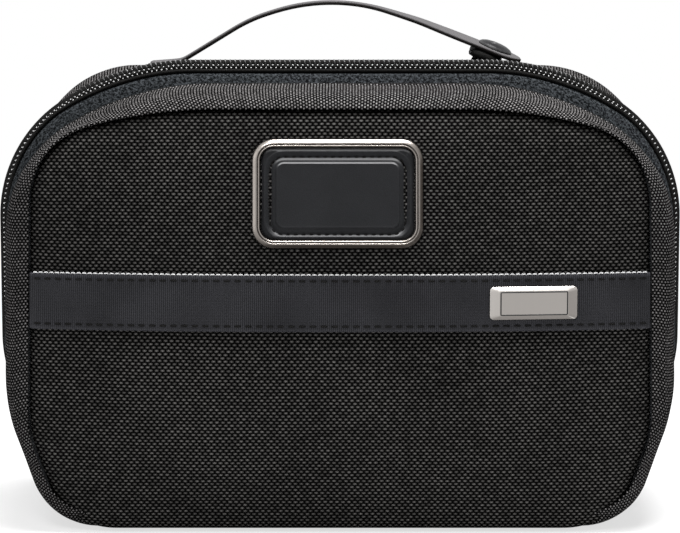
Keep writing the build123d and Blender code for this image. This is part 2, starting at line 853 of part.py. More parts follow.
bar_x = -link_length
with BuildPart() as pull_tab:
    with BuildSketch(link_plane.offset(-tab_thickness / 2)):
        with Locations((bar_x + link_wire_radius + layer_gap - tab_length / 2, 0)):
            RectangleRounded(tab_length, tab_width - 2 * link_wire_radius, tab_corner_radius)
    extrude(amount=tab_thickness)
    with BuildSketch(link_plane.offset(-link_wire_radius - layer_gap)):
        with Locations((bar_x, 0)):
            Rectangle(2 * (link_wire_radius + layer_gap), tab_width)
    extrude(amount=2 * (link_wire_radius + layer_gap), mode=Mode.SUBTRACT)
write(pull_tab, "pull_tab")
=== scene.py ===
"""Looks of a zip-around toiletry bag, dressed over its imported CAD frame.

Shapes are worked out in millimetres, X to the right, Y to the back and Z up, with the closed zip in
the plane Y = 0, and are written to Blender in metres. Depths run from the zip to the front or the
back of a half. Lamps, camera and floor are in metres.
"""

import logging
import math
from dataclasses import dataclass
from enum import Enum
from typing import Callable, Iterable, Sequence

import bmesh
import bpy
import numpy as np
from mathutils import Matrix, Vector, noise


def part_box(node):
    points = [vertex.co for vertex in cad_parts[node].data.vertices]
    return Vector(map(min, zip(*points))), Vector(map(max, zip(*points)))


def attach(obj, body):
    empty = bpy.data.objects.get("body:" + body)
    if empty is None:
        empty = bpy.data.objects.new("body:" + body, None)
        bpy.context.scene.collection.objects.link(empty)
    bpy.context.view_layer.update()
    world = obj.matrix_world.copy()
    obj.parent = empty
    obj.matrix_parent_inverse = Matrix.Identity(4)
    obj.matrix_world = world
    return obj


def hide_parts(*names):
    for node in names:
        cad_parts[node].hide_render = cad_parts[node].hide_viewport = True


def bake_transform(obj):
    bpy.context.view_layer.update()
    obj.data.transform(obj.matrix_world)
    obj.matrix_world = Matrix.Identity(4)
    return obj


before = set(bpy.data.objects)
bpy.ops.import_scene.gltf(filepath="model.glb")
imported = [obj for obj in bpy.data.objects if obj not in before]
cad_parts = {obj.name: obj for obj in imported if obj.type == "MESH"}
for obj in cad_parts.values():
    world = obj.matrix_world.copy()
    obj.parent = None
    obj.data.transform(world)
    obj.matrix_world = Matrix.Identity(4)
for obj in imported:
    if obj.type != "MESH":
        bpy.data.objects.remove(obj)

LOG = logging.getLogger("toiletry_bag")
MM = 0.001
UP = np.array((0.0, 0.0, 1.0))
BACKWARD = np.array((0.0, 1.0, 0.0))
Socket = bpy.types.NodeSocket
Sockets = bpy.types.bpy_prop_collection
Colour = tuple[float, float, float]


class Body(Enum):
    """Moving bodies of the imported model."""

    BACK = "back_half"
    FRONT = "front_half"
    HANDLE = "handle"
    SLIDER = "slider"
    PULL = "pull"


CROWN_POWER = 2.4
TINY = 1e-9
FINE_COUNT = 1440
FULL_TURN = 6.2832


# ---- shapes ----


def clamp(value: float) -> float:
    """Returns a value held between 0 and 1."""
    return min(max(value, 0.0), 1.0)


def eased(share: float | np.ndarray) -> float | np.ndarray:
    """Returns a share from 0 to 1 with a soft start and a soft end."""
    return share * share * (3 - 2 * share)


def unit(vectors: np.ndarray) -> np.ndarray:
    """Returns a vector, or each row of vectors, at length 1."""
    return vectors / np.linalg.norm(vectors, axis=-1, keepdims=True)


def run(path: np.ndarray) -> np.ndarray:
    """Returns how far along a path each of its points lies."""
    return np.concatenate(([0.0], np.cumsum(np.linalg.norm(np.diff(path, axis=0), axis=1))))


def turns(count: int) -> list[float]:
    """Returns the angles of points evenly round a circle."""
    return [2 * math.pi * k / count for k in range(count)]


@dataclass(frozen=True)
class Corners:
    """Right-hand corners of a closed outline from the top down, each with its radius."""

    points: tuple[tuple[float, float], ...]
    radii: tuple[float, ...]

    def towards(self, other: "Corners", share: float) -> "Corners":
        """Corners part way to those of another outline.

        Args:
            other: the other outline.
            share: 0 for this one and 1 for the other.

        Returns:
            The corners between them.
        """
        points = np.array(self.points) * (1 - share) + np.array(other.points) * share
        radii = np.array(self.radii) * (1 - share) + np.array(other.radii) * share
        return Corners(tuple(map(tuple, points)), tuple(radii))


@dataclass(frozen=True)
class Insets:
    """How far an outline is drawn in at its sides, base and top."""

    sides: float
    below: float
    above: float


CHAIN = Corners(((82.2, 169.2), (127.0, 137.8), (127.0, 58.0), (107.0, 0.0)), (88.7, 52.8, 50.0, 28.0))
FRONT_RIM = Corners(((74.0, 161.2), (123.3, 133.4), (124.3, 45.4), (108.6, 0.0)), (115.0, 48.2, 60.0, 23.0))
BACK_RIM = Corners(((96.7, 166.9), (124.6, 134.6), (124.6, 45.6), (109.6, 0.0)), (40.7, 27.9, 57.0, 25.0))
SEAM = Corners(((66.6, 154.7), (111.6, 143.3), (113.6, 36.0), (103.0, 6.5)), (180.0, 33.5, 40.0, 26.0))
ZIP_END = 22.0
CENTRE = (0.0, 82.0)


@dataclass(frozen=True)
class Half:
    """Sizes of one half of the bag."""

    name: str
    side: int
    body: Body
    outer: Corners
    depths: tuple[float, ...]
    shares: tuple[float, ...]
    below: tuple[float, ...]
    rim: float
    crown: float

    @property
    def seam(self) -> float:
        """Returns the depth of the seam between gusset and panel."""
        return self.depths[-1]

    def outline(self, depth: float, inside: float, count: int) -> np.ndarray:
        """Points round the gusset at a depth, from the rim's outline at the zip to the seam's.

        Args:
            depth: distance from the zip.
            inside: how far inside the outer skin.
            count: number of points.

        Returns:
            Array of x and z.
        """
        share, below = (smooth(self.depths, row, depth) for row in (self.shares, self.below))
        return ring(self.outer.towards(SEAM, share), Insets(inside, below + inside, inside), count)

    def place(self, x: float, depth: float, z: float) -> tuple[float, float, float]:
        """Returns a point of this half, from its depth."""
        return (x, -self.side * depth, z)

    def row(self, outline: Iterable, depth: float) -> list[tuple[float, float, float]]:
        """Returns the points of an outline of x and z at a depth."""
        return [self.place(x, depth, z) for x, z in outline]

    def crowned(self, share: float) -> float:
        """Returns the depth of the panel's crown, from 0 at its middle to 1 on its outline."""
        return self.seam + self.crown * (1 - share**CROWN_POWER)

    def crown_tilt(self, share: float, reach: float) -> float:
        """Returns how far the crown leans there, where the outline is that far from the middle."""
        return math.atan(self.crown * CROWN_POWER * share ** (CROWN_POWER - 1) / reach)


FRONT = Half(
    "front", 1, Body.FRONT, FRONT_RIM, (0.2, 16.0, 28.0, 40.0, 46.0), (0.0, 0.0, 0.09, 0.44, 1.0),
    (1.5, 0.0, 0.0, 1.2, 6.5), 11.0, 9.0,
)
BACK = Half(
    "back", -1, Body.BACK, BACK_RIM, (0.2, 16.0, 28.0, 41.0, 49.0), (0.22, 0.08, 0.0, 0.4, 1.0),
    (1.5, 0.0, 0.0, 2.5, 7.0), 11.0, 7.2,
)


def smooth(xs: Sequence[float], ys: Sequence[float], x: float) -> float:
    """Value of a smooth curve through some points, with no overshoot.

    Args:
        xs: rising positions of the points.
        ys: value at each.
        x: where the value is wanted.

    Returns:
        The value there.
    """
    x = min(max(x, xs[0]), xs[-1])
    i = min(max(int(np.searchsorted(xs, x)) - 1, 0), len(xs) - 2)
    slopes = [(ys[k + 1] - ys[k]) / (xs[k + 1] - xs[k]) for k in range(len(xs) - 1)]

    def tangent(k: int) -> float:
        """Returns the curve's slope at one of its points."""
        if k in (0, len(xs) - 1):
            return slopes[min(k, len(slopes) - 1)]
        before, after = slopes[k - 1], slopes[k]
        return 0.0 if before * after <= 0 else 2 * before * after / (before + after)

    width = xs[i + 1] - xs[i]
    t = (x - xs[i]) / width
    return (
        (2 * t**3 - 3 * t**2 + 1) * ys[i] + (t**3 - 2 * t**2 + t) * width * tangent(i)
        + (3 * t**2 - 2 * t**3) * ys[i + 1] + (t**3 - t**2) * width * tangent(i + 1)
    )


def ring(corners: Corners, insets: Insets, count: int = 360) -> np.ndarray:
    """Points round an outline, from the middle of its base to the right, over the top and back.

    Args:
        corners: the outline's corners and radii.
        insets: what it is drawn in.
        count: number of points, evenly spaced.

    Returns:
        Array of x and z.
    """
    points = [np.array(p) for p in corners.points]

    def line(start: np.ndarray, end: np.ndarray) -> tuple[np.ndarray, np.ndarray]:
        """Returns a side of the outline, moved in: a point on it and its direction."""
        way = unit(end - start)
        return start + np.array((way[1], -way[0])) * insets.sides, way

    lines = [(np.array((0.0, points[0][1] - insets.above)), np.array((1.0, 0.0)))]
    lines += [line(points[i], points[i + 1]) for i in range(3)]
    lines.append((np.array((0.0, insets.below)), np.array((1.0, 0.0))))
    right = []
    for (p, d), (q, e) in zip(lines, lines[1:]):
        step = np.linalg.solve(np.array((d, -e)).T, q - p)[0]
        right.append(p + d * step)
    radii = [max(r - insets.sides, 3.0) for r in corners.radii]
    right, radii = right[::-1], radii[::-1]
    path = [np.array((0.0, insets.below))]
    stops = [np.array((-right[0][0], insets.below)), *right, np.array((-right[-1][0], right[-1][1]))]
    for before, corner, after, radius in zip(stops, stops[1:], stops[2:], radii):
        path += fillet(before, corner, after, radius, 24)
    path.append(np.array((0.0, right[-1][1])))
    path += [np.array((-p[0], p[1])) for p in path[-2:0:-1]]
    path.append(path[0])
    return evenly(np.array(path), count + 1)[:-1]


def fillet(before: np.ndarray, corner: np.ndarray, after: np.ndarray, radius: float, steps: int,
           room: float = 0.49) -> list[np.ndarray]:
    """Points of the arc that rounds off a corner.

    Args:
        before: the stop before the corner.
        corner: the corner.
        after: the stop after it.
        radius: radius of the arc.
        steps: number of steps along it.
        room: share of the shorter side that the arc may take up.

    Returns:
        The points.
    """
    back, ahead = before - corner, after - corner
    room *= min(np.linalg.norm(back), np.linalg.norm(ahead))
    back, ahead = unit(back), unit(ahead)
    half = math.acos(float(back @ ahead)) / 2
    reach = min(radius / math.tan(half), room)
    fitted = reach * math.tan(half)
    middle = corner + unit(back + ahead) * fitted / math.sin(half)
    first, last = corner + back * reach - middle, corner + ahead * reach - middle
    turn = math.acos(float(np.clip(first @ last / fitted**2, -1, 1)))
    arc = []
    for k in range(steps + 1):
        share = k / steps
        arc.append(middle + (math.sin((1 - share) * turn) * first + math.sin(share * turn) * last) / math.sin(turn))
    return arc


def evenly(path: np.ndarray, count: int) -> np.ndarray:
    """A path's points, spaced evenly along it.

    Args:
        path: the points.
        count: number wanted, ends included.

    Returns:
        Array of points.
    """
    along = run(path)
    wanted = np.linspace(0.0, along[-1], count)
    return np.stack([np.interp(wanted, along, path[:, k]) for k in range(path.shape[1])], 1)


def inward(outline: np.ndarray) -> np.ndarray:
    """Unit vectors that point into a closed outline.

    Args:
        outline: points of x and z, as ring gives them.

    Returns:
        Array of the same length.
    """
    way = unit(np.roll(outline, -1, 0) - np.roll(outline, 1, 0))
    return np.stack([-way[:, 1], way[:, 0]], 1)


class Reach:
    """Tells how far out a point lies between the middle of a panel and its outline."""

    def __init__(self, outline: np.ndarray) -> None:
        """Keeps the outline in polar form.

        Args:
            outline: points of x and z.
        """
        arm = outline - np.array(CENTRE)
        angle = np.arctan2(arm[:, 1], arm[:, 0])
        order = np.argsort(angle)
        self.angles = angle[order]
        self.lengths = np.linalg.norm(arm, axis=1)[order]

    def length(self, angle: float) -> float:
        """Returns the distance from the middle to the outline in a direction."""
        return float(np.interp(angle, self.angles, self.lengths, period=2 * math.pi))

    def share(self, x: float, z: float) -> float:
        """Returns 0 at the middle and 1 on the outline."""
        arm = (x - CENTRE[0], z - CENTRE[1])
        return math.hypot(*arm) / self.length(math.atan2(arm[1], arm[0]))

    def edge_x(self, z: float) -> float:
        """Returns the half width of the outline at a height."""
        low, high = 0.0, 140.0
        for _ in range(30):
            middle = (low + high) / 2
            low, high = (middle, high) if self.share(middle, z) < 1 else (low, middle)
        return low


def wander(point: Sequence[float], size: float, seed: float) -> float:
    """Smooth irregular value between -1 and 1.

    Args:
        point: place, in millimetres.
        size: width of its humps.
        seed: offset that makes one piece differ from the next.

    Returns:
        The value.
    """
    return noise.noise(Vector(point) / size + Vector((seed, seed * 1.7, seed * 0.3)))


# ---- meshes ----


def new_object(name: str, verts: np.ndarray, faces: Sequence[Sequence[int]],
               uvs: np.ndarray | None = None) -> bpy.types.Object:
    """Makes a smooth mesh object.

    Args:
        name: its name.
        verts: points in millimetres.
        faces: corners of each face.
        uvs: flat coordinates in millimetres for each face corner, or none.

    Returns:
        The object, linked to the scene.
    """
    mesh = bpy.data.meshes.new(name)
    mesh.from_pydata((np.asarray(verts, float) * MM).tolist(), [], [list(f) for f in faces])
    layer = mesh.uv_layers.new(name="UVMap")
    if uvs is None:
        flat = np.array([mesh.vertices[loop.vertex_index].co[:] for loop in mesh.loops])
        uvs = flat[:, (0, 2)] / MM
    layer.data.foreach_set("uv", (np.asarray(uvs, float) * MM).ravel())
    mesh.polygons.foreach_set("use_smooth", [True] * len(mesh.polygons))
    mesh.validate()
    mesh.update()
    made = bpy.data.objects.new(name, mesh)
    bpy.context.scene.collection.objects.link(made)
    return made


def grid(name: str, points: np.ndarray, wrap_rows: bool = False, wrap_columns: bool = False,
         keep: Callable[[int, int], bool] | None = None, flip: bool = False,
         turned: bool = False) -> bpy.types.Object:
    """Makes a sheet from rows and columns of points, with threads' coordinates along them.

    Args:
        name: name of the object.
        points: array of rows, columns and x, y, z.
        wrap_rows: whether the last row joins the first.
        wrap_columns: whether the last column joins the first.
        keep: says of each cell whether it is made, or none for all.
        flip: whether faces point the other way.
        turned: whether the threads' coordinates swap places.

    Returns:
        The object.
    """
    rows, columns = points.shape[:2]
    across = run(points[rows // 2])
    closing = across[-1] + np.linalg.norm(points[rows // 2, 0] - points[rows // 2, -1])
    down = np.linalg.norm(np.diff(points, axis=0), axis=2)
    down = np.concatenate((np.zeros((1, columns)), np.cumsum(down, 0)))
    faces, uvs = [], []
    for r in range(rows if wrap_rows else rows - 1):
        for c in range(columns if wrap_columns else columns - 1):
            if keep and not keep(r, c):
                continue
            s, d = (r + 1) % rows, (c + 1) % columns
            u0, u1 = across[c], across[d] if d else closing
            if s:
                v = (down[r, c], down[r, d], down[s, d], down[s, c])
            else:
                v = (down[r, c], down[r, d], down[r, d] + 1, down[r, c] + 1)
            face = [r * columns + c, r * columns + d, s * columns + d, s * columns + c]
            corner = [(u0, v[0]), (u1, v[1]), (u1, v[2]), (u0, v[3])]
            if flip:
                face, corner = face[::-1], corner[::-1]
            faces.append(face)
            uvs += corner
    uvs = np.array(uvs)[:, ::-1] if turned else np.array(uvs)
    made = new_object(name, points.reshape(-1, 3), faces, uvs)
    tidy(made)
    return made


def tidy(piece: bpy.types.Object) -> None:
    """Removes a piece's loose points.

    Args:
        piece: mesh object.
    """
    work = bmesh.new()
    work.from_mesh(piece.data)
    bmesh.ops.delete(work, geom=[v for v in work.verts if not v.link_faces], context="VERTS")
    work.to_mesh(piece.data)
    work.free()


def tube(name: str, path: np.ndarray, radius: float, sides: int = 8, closed: bool = False,
         flat: float = 1.0, up: np.ndarray | None = None) -> bpy.types.Object:
    """Makes a round or flattened cord along a path.

    Args:
        name: name of the object.
        path: points of its middle line.
        radius: its radius.
        sides: points round it.
        closed: whether its end joins its start.
        flat: its thickness along up, as a share of its width.
        up: direction of its thickness, or none to carry one along the path.

    Returns:
        The object.
    """
    way = unit(np.roll(path, -1, 0) - np.roll(path, 1, 0) if closed else np.gradient(path, axis=0))
    normal = np.cross(way[0], (0.3, 1.0, 0.2)) if up is None else up
    rings = []
    for point, along in zip(path, way):
        normal = normal if up is None else up
        normal = unit(normal - along * float(np.dot(normal, along)))
        beside, rise = np.cross(along, normal) * radius, normal * radius * flat
        rings.append([point + beside * math.cos(a) + rise * math.sin(a) for a in turns(sides)])
    made = grid(name, np.array(rings), wrap_rows=closed, wrap_columns=True)
    if not closed:
        cap_ends(made, len(path), sides)
    return made


def cap_ends(piece: bpy.types.Object, rows: int, sides: int) -> None:
    """Closes both ends of a tube.

    Args:
        piece: the tube.
        rows: its number of rings.
        sides: points in a ring.
    """
    work = bmesh.new()
    work.from_mesh(piece.data)
    work.verts.ensure_lookup_table()
    for start in (0, (rows - 1) * sides):
        face = work.faces.new([work.verts[start + k] for k in range(sides)])
        face.smooth = True
    bmesh.ops.recalc_face_normals(work, faces=work.faces)
    work.to_mesh(piece.data)
    work.free()


def stitches(name: str, path: np.ndarray, outward: np.ndarray, pitch: float, length: float,
             radius: float) -> bpy.types.Object:
    """Makes a row of sewn stitches whose ends dive into the cloth.

    Args:
        name: name of the object.
        path: points along the row, on the cloth's face.
        outward: direction away from the cloth at each.
        pitch: distance from one stitch to the next.
        length: length of a stitch.
        radius: radius of the thread.

    Returns:
        The object.
    """
    along = run(path)

    def at(distance: float, values: np.ndarray) -> np.ndarray:
        """Returns a value part way along the row."""
        return np.array([np.interp(distance, along, values[:, k]) for k in range(3)])

    verts, faces, sides = [], [], 6
    count = int(along[-1] / pitch)
    for i in range(count):
        middle = (i + 0.5) * along[-1] / count
        base = len(verts)
        spots = np.linspace(-0.5, 0.5, 7)
        for spot in spots:
            spot_at = middle + spot * length
            centre, out = at(spot_at, path), unit(at(spot_at, outward))
            way = at(spot_at + 0.05, path) - at(spot_at - 0.05, path)
            way = way / max(np.linalg.norm(way), TINY)
            beside = np.cross(out, way)
            swell = math.sqrt(max(1 - (2 * spot) ** 4, 0.05))
            centre = centre + out * radius * (0.55 - 1.9 * (2 * spot) ** 4)
            for turn in turns(sides):
                verts.append(centre + (beside * math.cos(turn) + out * math.sin(turn) * 0.8) * radius * swell)
        for r in range(len(spots) - 1):
            for k in range(sides):
                d = (k + 1) % sides
                row, after = base + r * sides, base + (r + 1) * sides
                faces.append((row + k, row + d, after + d, after + k))
        faces.append(tuple(base + k for k in range(sides))[::-1])
        faces.append(tuple(base + (len(spots) - 1) * sides + k for k in range(sides)))
    return new_object(name, np.array(verts), faces)


def thicken(piece: bpy.types.Object, thickness: float, offset: float = -1.0) -> None:
    """Gives a sheet its thickness.

    Args:
        piece: the sheet.
        thickness: in millimetres.
        offset: -1 for behind its face, 1 for in front of it, 0 for both.
    """
    made = piece.modifiers.new("thickness", "SOLIDIFY")
    made.thickness = thickness * MM
    made.offset = offset
    made.use_even_offset = True


def subdivide(piece: bpy.types.Object, levels: int = 1) -> None:
    """Rounds a piece with a subdivision surface.

    Args:
        piece: mesh object.
        levels: number of subdivisions.
    """
    made = piece.modifiers.new("rounding", "SUBSURF")
    made.levels = levels
    made.render_levels = levels


BALLISTIC_NYLON = {
    "quality": 6, "mass": 0.3, "tension_stiffness": 12, "compression_stiffness": 12, "shear_stiffness": 6,
    "bending_stiffness": 2.0,
}
PUFF_FRAMES = 20


def inflate(piece: bpy.types.Object, held: Sequence[int], pressure: float, cap: float) -> None:
    """Puffs a closed cushion up with a cloth simulation, and keeps the result.

    Args:
        piece: closed mesh.
        held: indices of the points that are sewn down.
        pressure: pressure inside.
        cap: farthest that a point may move, in millimetres.
    """
    mesh = piece.data
    rest = np.array([v.co[:] for v in mesh.vertices])
    group = piece.vertex_groups.new(name="held")
    group.add([int(i) for i in held], 1.0, "REPLACE")
    cloth = piece.modifiers.new("cloth", "CLOTH")
    for key, value in BALLISTIC_NYLON.items():
        setattr(cloth.settings, key, value)
    cloth.settings.use_pressure = True
    cloth.settings.uniform_pressure_force = pressure
    cloth.settings.vertex_group_mass = group.name
    cloth.settings.effector_weights.gravity = 0.0
    cloth.collision_settings.use_collision = False
    cloth.point_cache.frame_end = PUFF_FRAMES
    scene = bpy.context.scene
    for step in range(1, PUFF_FRAMES + 1):
        scene.frame_set(step)
    solved = piece.evaluated_get(bpy.context.evaluated_depsgraph_get())
    moved = np.array([v.co[:] for v in solved.data.vertices]) - rest
    piece.modifiers.remove(cloth)
    piece.vertex_groups.remove(group)
    scene.frame_set(1)
    far = np.linalg.norm(moved, axis=1, keepdims=True)
    limit = cap * MM
    moved *= limit * np.tanh(far / limit) / np.maximum(far, TINY)
    mesh.vertices.foreach_set("co", (rest + moved).ravel())
    mesh.update()


# ---- materials ----


def brighter(colour: Colour, factor: float) -> Colour:
    """Returns a colour times a factor, white at most."""
    return tuple(min(c * factor, 1.0) for c in colour)


class Graph:
    """Adds nodes and links to one node tree in few words."""

    def __init__(self, tree: bpy.types.NodeTree) -> None:
        """Keeps the tree."""
        self.tree = tree

    def add(self, kind: str, inputs: dict | None = None, **settings: object) -> bpy.types.Node:
        """Adds a node.

        Args:
            kind: node type.
            inputs: values or sockets for its inputs.
            **settings: its other settings.

        Returns:
            The node.
        """
        node = self.tree.nodes.new(kind)
        for key, value in settings.items():
            setattr(node, key, value)
        for key, value in (inputs or {}).items():
            self.put(node.inputs[key], value)
        return node

    def put(self, socket: Socket, value: object) -> None:
        """Sets an input, or links it where the value is a socket."""
        if isinstance(value, bpy.types.NodeSocket):
            self.tree.links.new(value, socket)
        else:
            socket.default_value = value

    def math(self, operation: str, *values: object) -> Socket:
        """Returns the result of a Math node."""
        node = self.add("ShaderNodeMath", operation=operation)
        for socket, value in zip(node.inputs, values):
            self.put(socket, value)
        return node.outputs[0]

    def times(self, *values: object) -> Socket:
        """Returns a product."""
        return self.math("MULTIPLY", *values)

    def plus(self, *values: object) -> Socket:
        """Returns a sum."""
        return self.math("ADD", *values)

    def minus(self, *values: object) -> Socket:
        """Returns a difference."""
        return self.math("SUBTRACT", *values)

    def wave(self, place: Socket, pitch: object, cycle: float = FULL_TURN) -> Socket:
        """Returns a sine over a place, between -1 and 1."""
        return self.math("SINE", self.times(self.math("DIVIDE", place, pitch), cycle))

    def ranged(self, value: Socket, start: float, end: float, low: float = 0.0, high: float = 1.0) -> Socket:
        """Returns low where a value is at the start of a range, high at its end, and what is between."""
        inputs = {"Value": value, "From Min": start, "From Max": end, "To Min": low, "To Max": high}
        return self.add("ShaderNodeMapRange", inputs).outputs[0]

    def scaled(self, value: Socket, low: float, high: float) -> Socket:
        """Returns a value from 0 to 1, moved to between two others."""
        return self.ranged(value, 0.0, 1.0, low, high)

    def split(self, vector: Socket) -> tuple[Socket, Socket, Socket]:
        """Returns the x, y and z of a vector."""
        return tuple(self.add("ShaderNodeSeparateXYZ", {"Vector": vector}).outputs)

    def blend(self, share: object, first: object, second: object) -> Socket:
        """Returns a mix of two colours."""
        node = self.add("ShaderNodeMix", data_type="RGBA")
        for index, value in ((0, share), (6, first), (7, second)):
            self.put(node.inputs[index], (*value, 1.0) if isinstance(value, tuple) else value)
        return node.outputs[2]

    def noise(self, vector: Socket, scale: float, detail: float = 3.0) -> Socket:
        """Returns a noise value from 0 to 1."""
        return self.add("ShaderNodeTexNoise", {"Vector": vector, "Scale": scale, "Detail": detail}).outputs[0]


class Effects:
    """Shader node groups that several materials use, each built once."""

    def __init__(self) -> None:
        """Builds the groups."""
        self.weave = self.make_weave()
        self.twill = self.make_twill()
        self.grain = self.make_grain()
        self.mottle = self.make_mottle()
        self.ribs = self.make_ribs()
        self.wear = self.make_wear()
        self.facing = self.make_facing()

    @staticmethod
    def start(name: str, inputs: Sequence[str], outputs: Sequence[str]) -> tuple[Graph, Sockets, Sockets]:
        """Starts a group.

        Args:
            name: its name.
            inputs: names of its inputs. Vector and Direction are vectors, the others are values.
            outputs: names of its outputs, all values.

        Returns:
            Its graph, the sockets that bring its inputs and those that take its outputs.
        """
        tree = bpy.data.node_groups.new(name, "ShaderNodeTree")
        for key in inputs:
            kind = "NodeSocketVector" if key in ("Vector", "Direction") else "NodeSocketFloat"
            tree.interface.new_socket(name=key, in_out="INPUT", socket_type=kind)
        for key in outputs:
            tree.interface.new_socket(name=key, in_out="OUTPUT", socket_type="NodeSocketFloat")
        graph = Graph(tree)
        return graph, graph.add("NodeGroupInput").outputs, graph.add("NodeGroupOutput").inputs

    def make_weave(self) -> bpy.types.NodeTree:
        """Coarse nylon whose short floats lie like bricks.

        Returns:
            Group with the yarn's dome, a shade for each float and a height.
        """
        graph, given, out = self.start("ballistic weave", ("Vector", "Float Length", "Row Height"),
                                       ("Yarn", "Shade", "Height"))
        x, y, _ = graph.split(given["Vector"])
        x = graph.math("DIVIDE", x, given["Float Length"])
        drift = graph.noise(given["Vector"], 60.0, 2.0)
        y = graph.plus(graph.math("DIVIDE", y, given["Row Height"]), graph.times(drift, 0.5))
        row = graph.math("FLOOR", y)
        x = graph.plus(x, graph.times(graph.math("MODULO", row, 2.0), 0.5))
        column = graph.math("FLOOR", x)
        rises = []
        for place, start, power in ((x, column, 1.9), (y, row, 2.4)):
            away = graph.math("ABSOLUTE", graph.minus(graph.times(graph.minus(place, start), 2.0), 1.0))
            rises.append(graph.minus(1.0, graph.math("POWER", away, power)))
        dome = graph.times(*rises)
        cell = graph.add("ShaderNodeCombineXYZ", {"X": column, "Y": row})
        chance = graph.add("ShaderNodeTexWhiteNoise", {"Vector": cell.outputs[0]}, noise_dimensions="2D")
        shade = chance.outputs["Value"]
        strands = graph.math("SINE", graph.times(y, 31.4))
        fine = graph.times(strands, 0.05)
        height = graph.plus(graph.times(dome, graph.scaled(shade, 0.8, 1.0)), fine)
        graph.put(out["Yarn"], dome)
        graph.put(out["Shade"], shade)
        graph.put(out["Height"], height)
        return graph.tree

    def make_twill(self) -> bpy.types.NodeTree:
        """Fine slanted ribs, as on zip tape and lining cloth.

        Returns:
            Group with a height and a fuzz mask.
        """
        graph, given, out = self.start("fine twill", ("Vector", "Pitch"), ("Height", "Fuzz"))
        x, y, _ = graph.split(given["Vector"])
        wave = graph.wave(graph.plus(x, y), given["Pitch"])
        cuts = graph.wave(graph.minus(x, y), given["Pitch"], FULL_TURN / 2)
        height = graph.plus(graph.times(wave, 0.35), graph.times(cuts, 0.2))
        graph.put(out["Height"], graph.plus(height, 0.5))
        graph.put(out["Fuzz"], graph.noise(given["Vector"], 900.0, 4.0))
        return graph.tree

    def make_grain(self) -> bpy.types.NodeTree:
        """Pebbled leather grain.

        Returns:
            Group with a height and the creases between pebbles.
        """
        graph, given, out = self.start("leather grain", ("Vector", "Scale"), ("Height", "Crease"))
        cells = graph.add("ShaderNodeTexVoronoi", {"Vector": given["Vector"], "Scale": given["Scale"]},
                          feature="DISTANCE_TO_EDGE")
        pebble = graph.math("MINIMUM", graph.times(cells.outputs["Distance"], 4.0), 1.0)
        soft = graph.minus(1.0, graph.math("POWER", graph.minus(1.0, pebble), 2.0))
        rough = graph.noise(given["Vector"], 2600.0, 4.0)
        graph.put(out["Height"], graph.plus(soft, graph.times(rough, 0.5)))
        graph.put(out["Crease"], graph.minus(1.0, soft))
        return graph.tree

    def make_mottle(self) -> bpy.types.NodeTree:
        """Slow and fine change of shade over a surface.

        Returns:
            Group with a slow and a fine value.
        """
        graph, given, out = self.start("mottle", ("Vector", "Scale"), ("Slow", "Fine"))
        graph.put(out["Slow"], graph.noise(given["Vector"], given["Scale"]))
        graph.put(out["Fine"], graph.noise(given["Vector"], graph.times(given["Scale"], 14.0), 4.0))
        return graph.tree

    def make_ribs(self) -> bpy.types.NodeTree:
        """Straight ribs along one direction.

        Returns:
            Group with the ribs' height.
        """
        graph, given, out = self.start("ribs", ("Along", "Pitch"), ("Height",))
        wave = graph.wave(given["Along"], given["Pitch"])
        graph.put(out["Height"], graph.plus(graph.times(wave, 0.5), 0.5))
        return graph.tree

    def make_wear(self) -> bpy.types.NodeTree:
        """Worn edges, broken up by noise.

        Returns:
            Group with a mask that is 1 on an edge.
        """
        graph, given, out = self.start("edge wear", ("Vector", "Amount"), ("Mask",))
        edge = graph.add("ShaderNodeNewGeometry").outputs["Pointiness"]
        sharp = graph.ranged(edge, 0.52, 0.6)
        broken = graph.noise(given["Vector"], 700.0, 3.0)
        mask = graph.times(graph.times(sharp, broken), given["Amount"])
        graph.put(out["Mask"], mask)
        return graph.tree

    def make_facing(self) -> bpy.types.NodeTree:
        """How far a surface faces a direction, used to paint light and shade by which way a surface turns.

        Returns:
            Group with a share that is 1 where it does.
        """
        graph, given, out = self.start("facing", ("Direction",), ("Share",))
        normal = graph.add("ShaderNodeNewGeometry").outputs["Normal"]
        dot = graph.add("ShaderNodeVectorMath", {0: normal, 1: given["Direction"]}, operation="DOT_PRODUCT")
        graph.put(out["Share"], graph.ranged(dot.outputs["Value"], 0.1, 0.8))
        return graph.tree


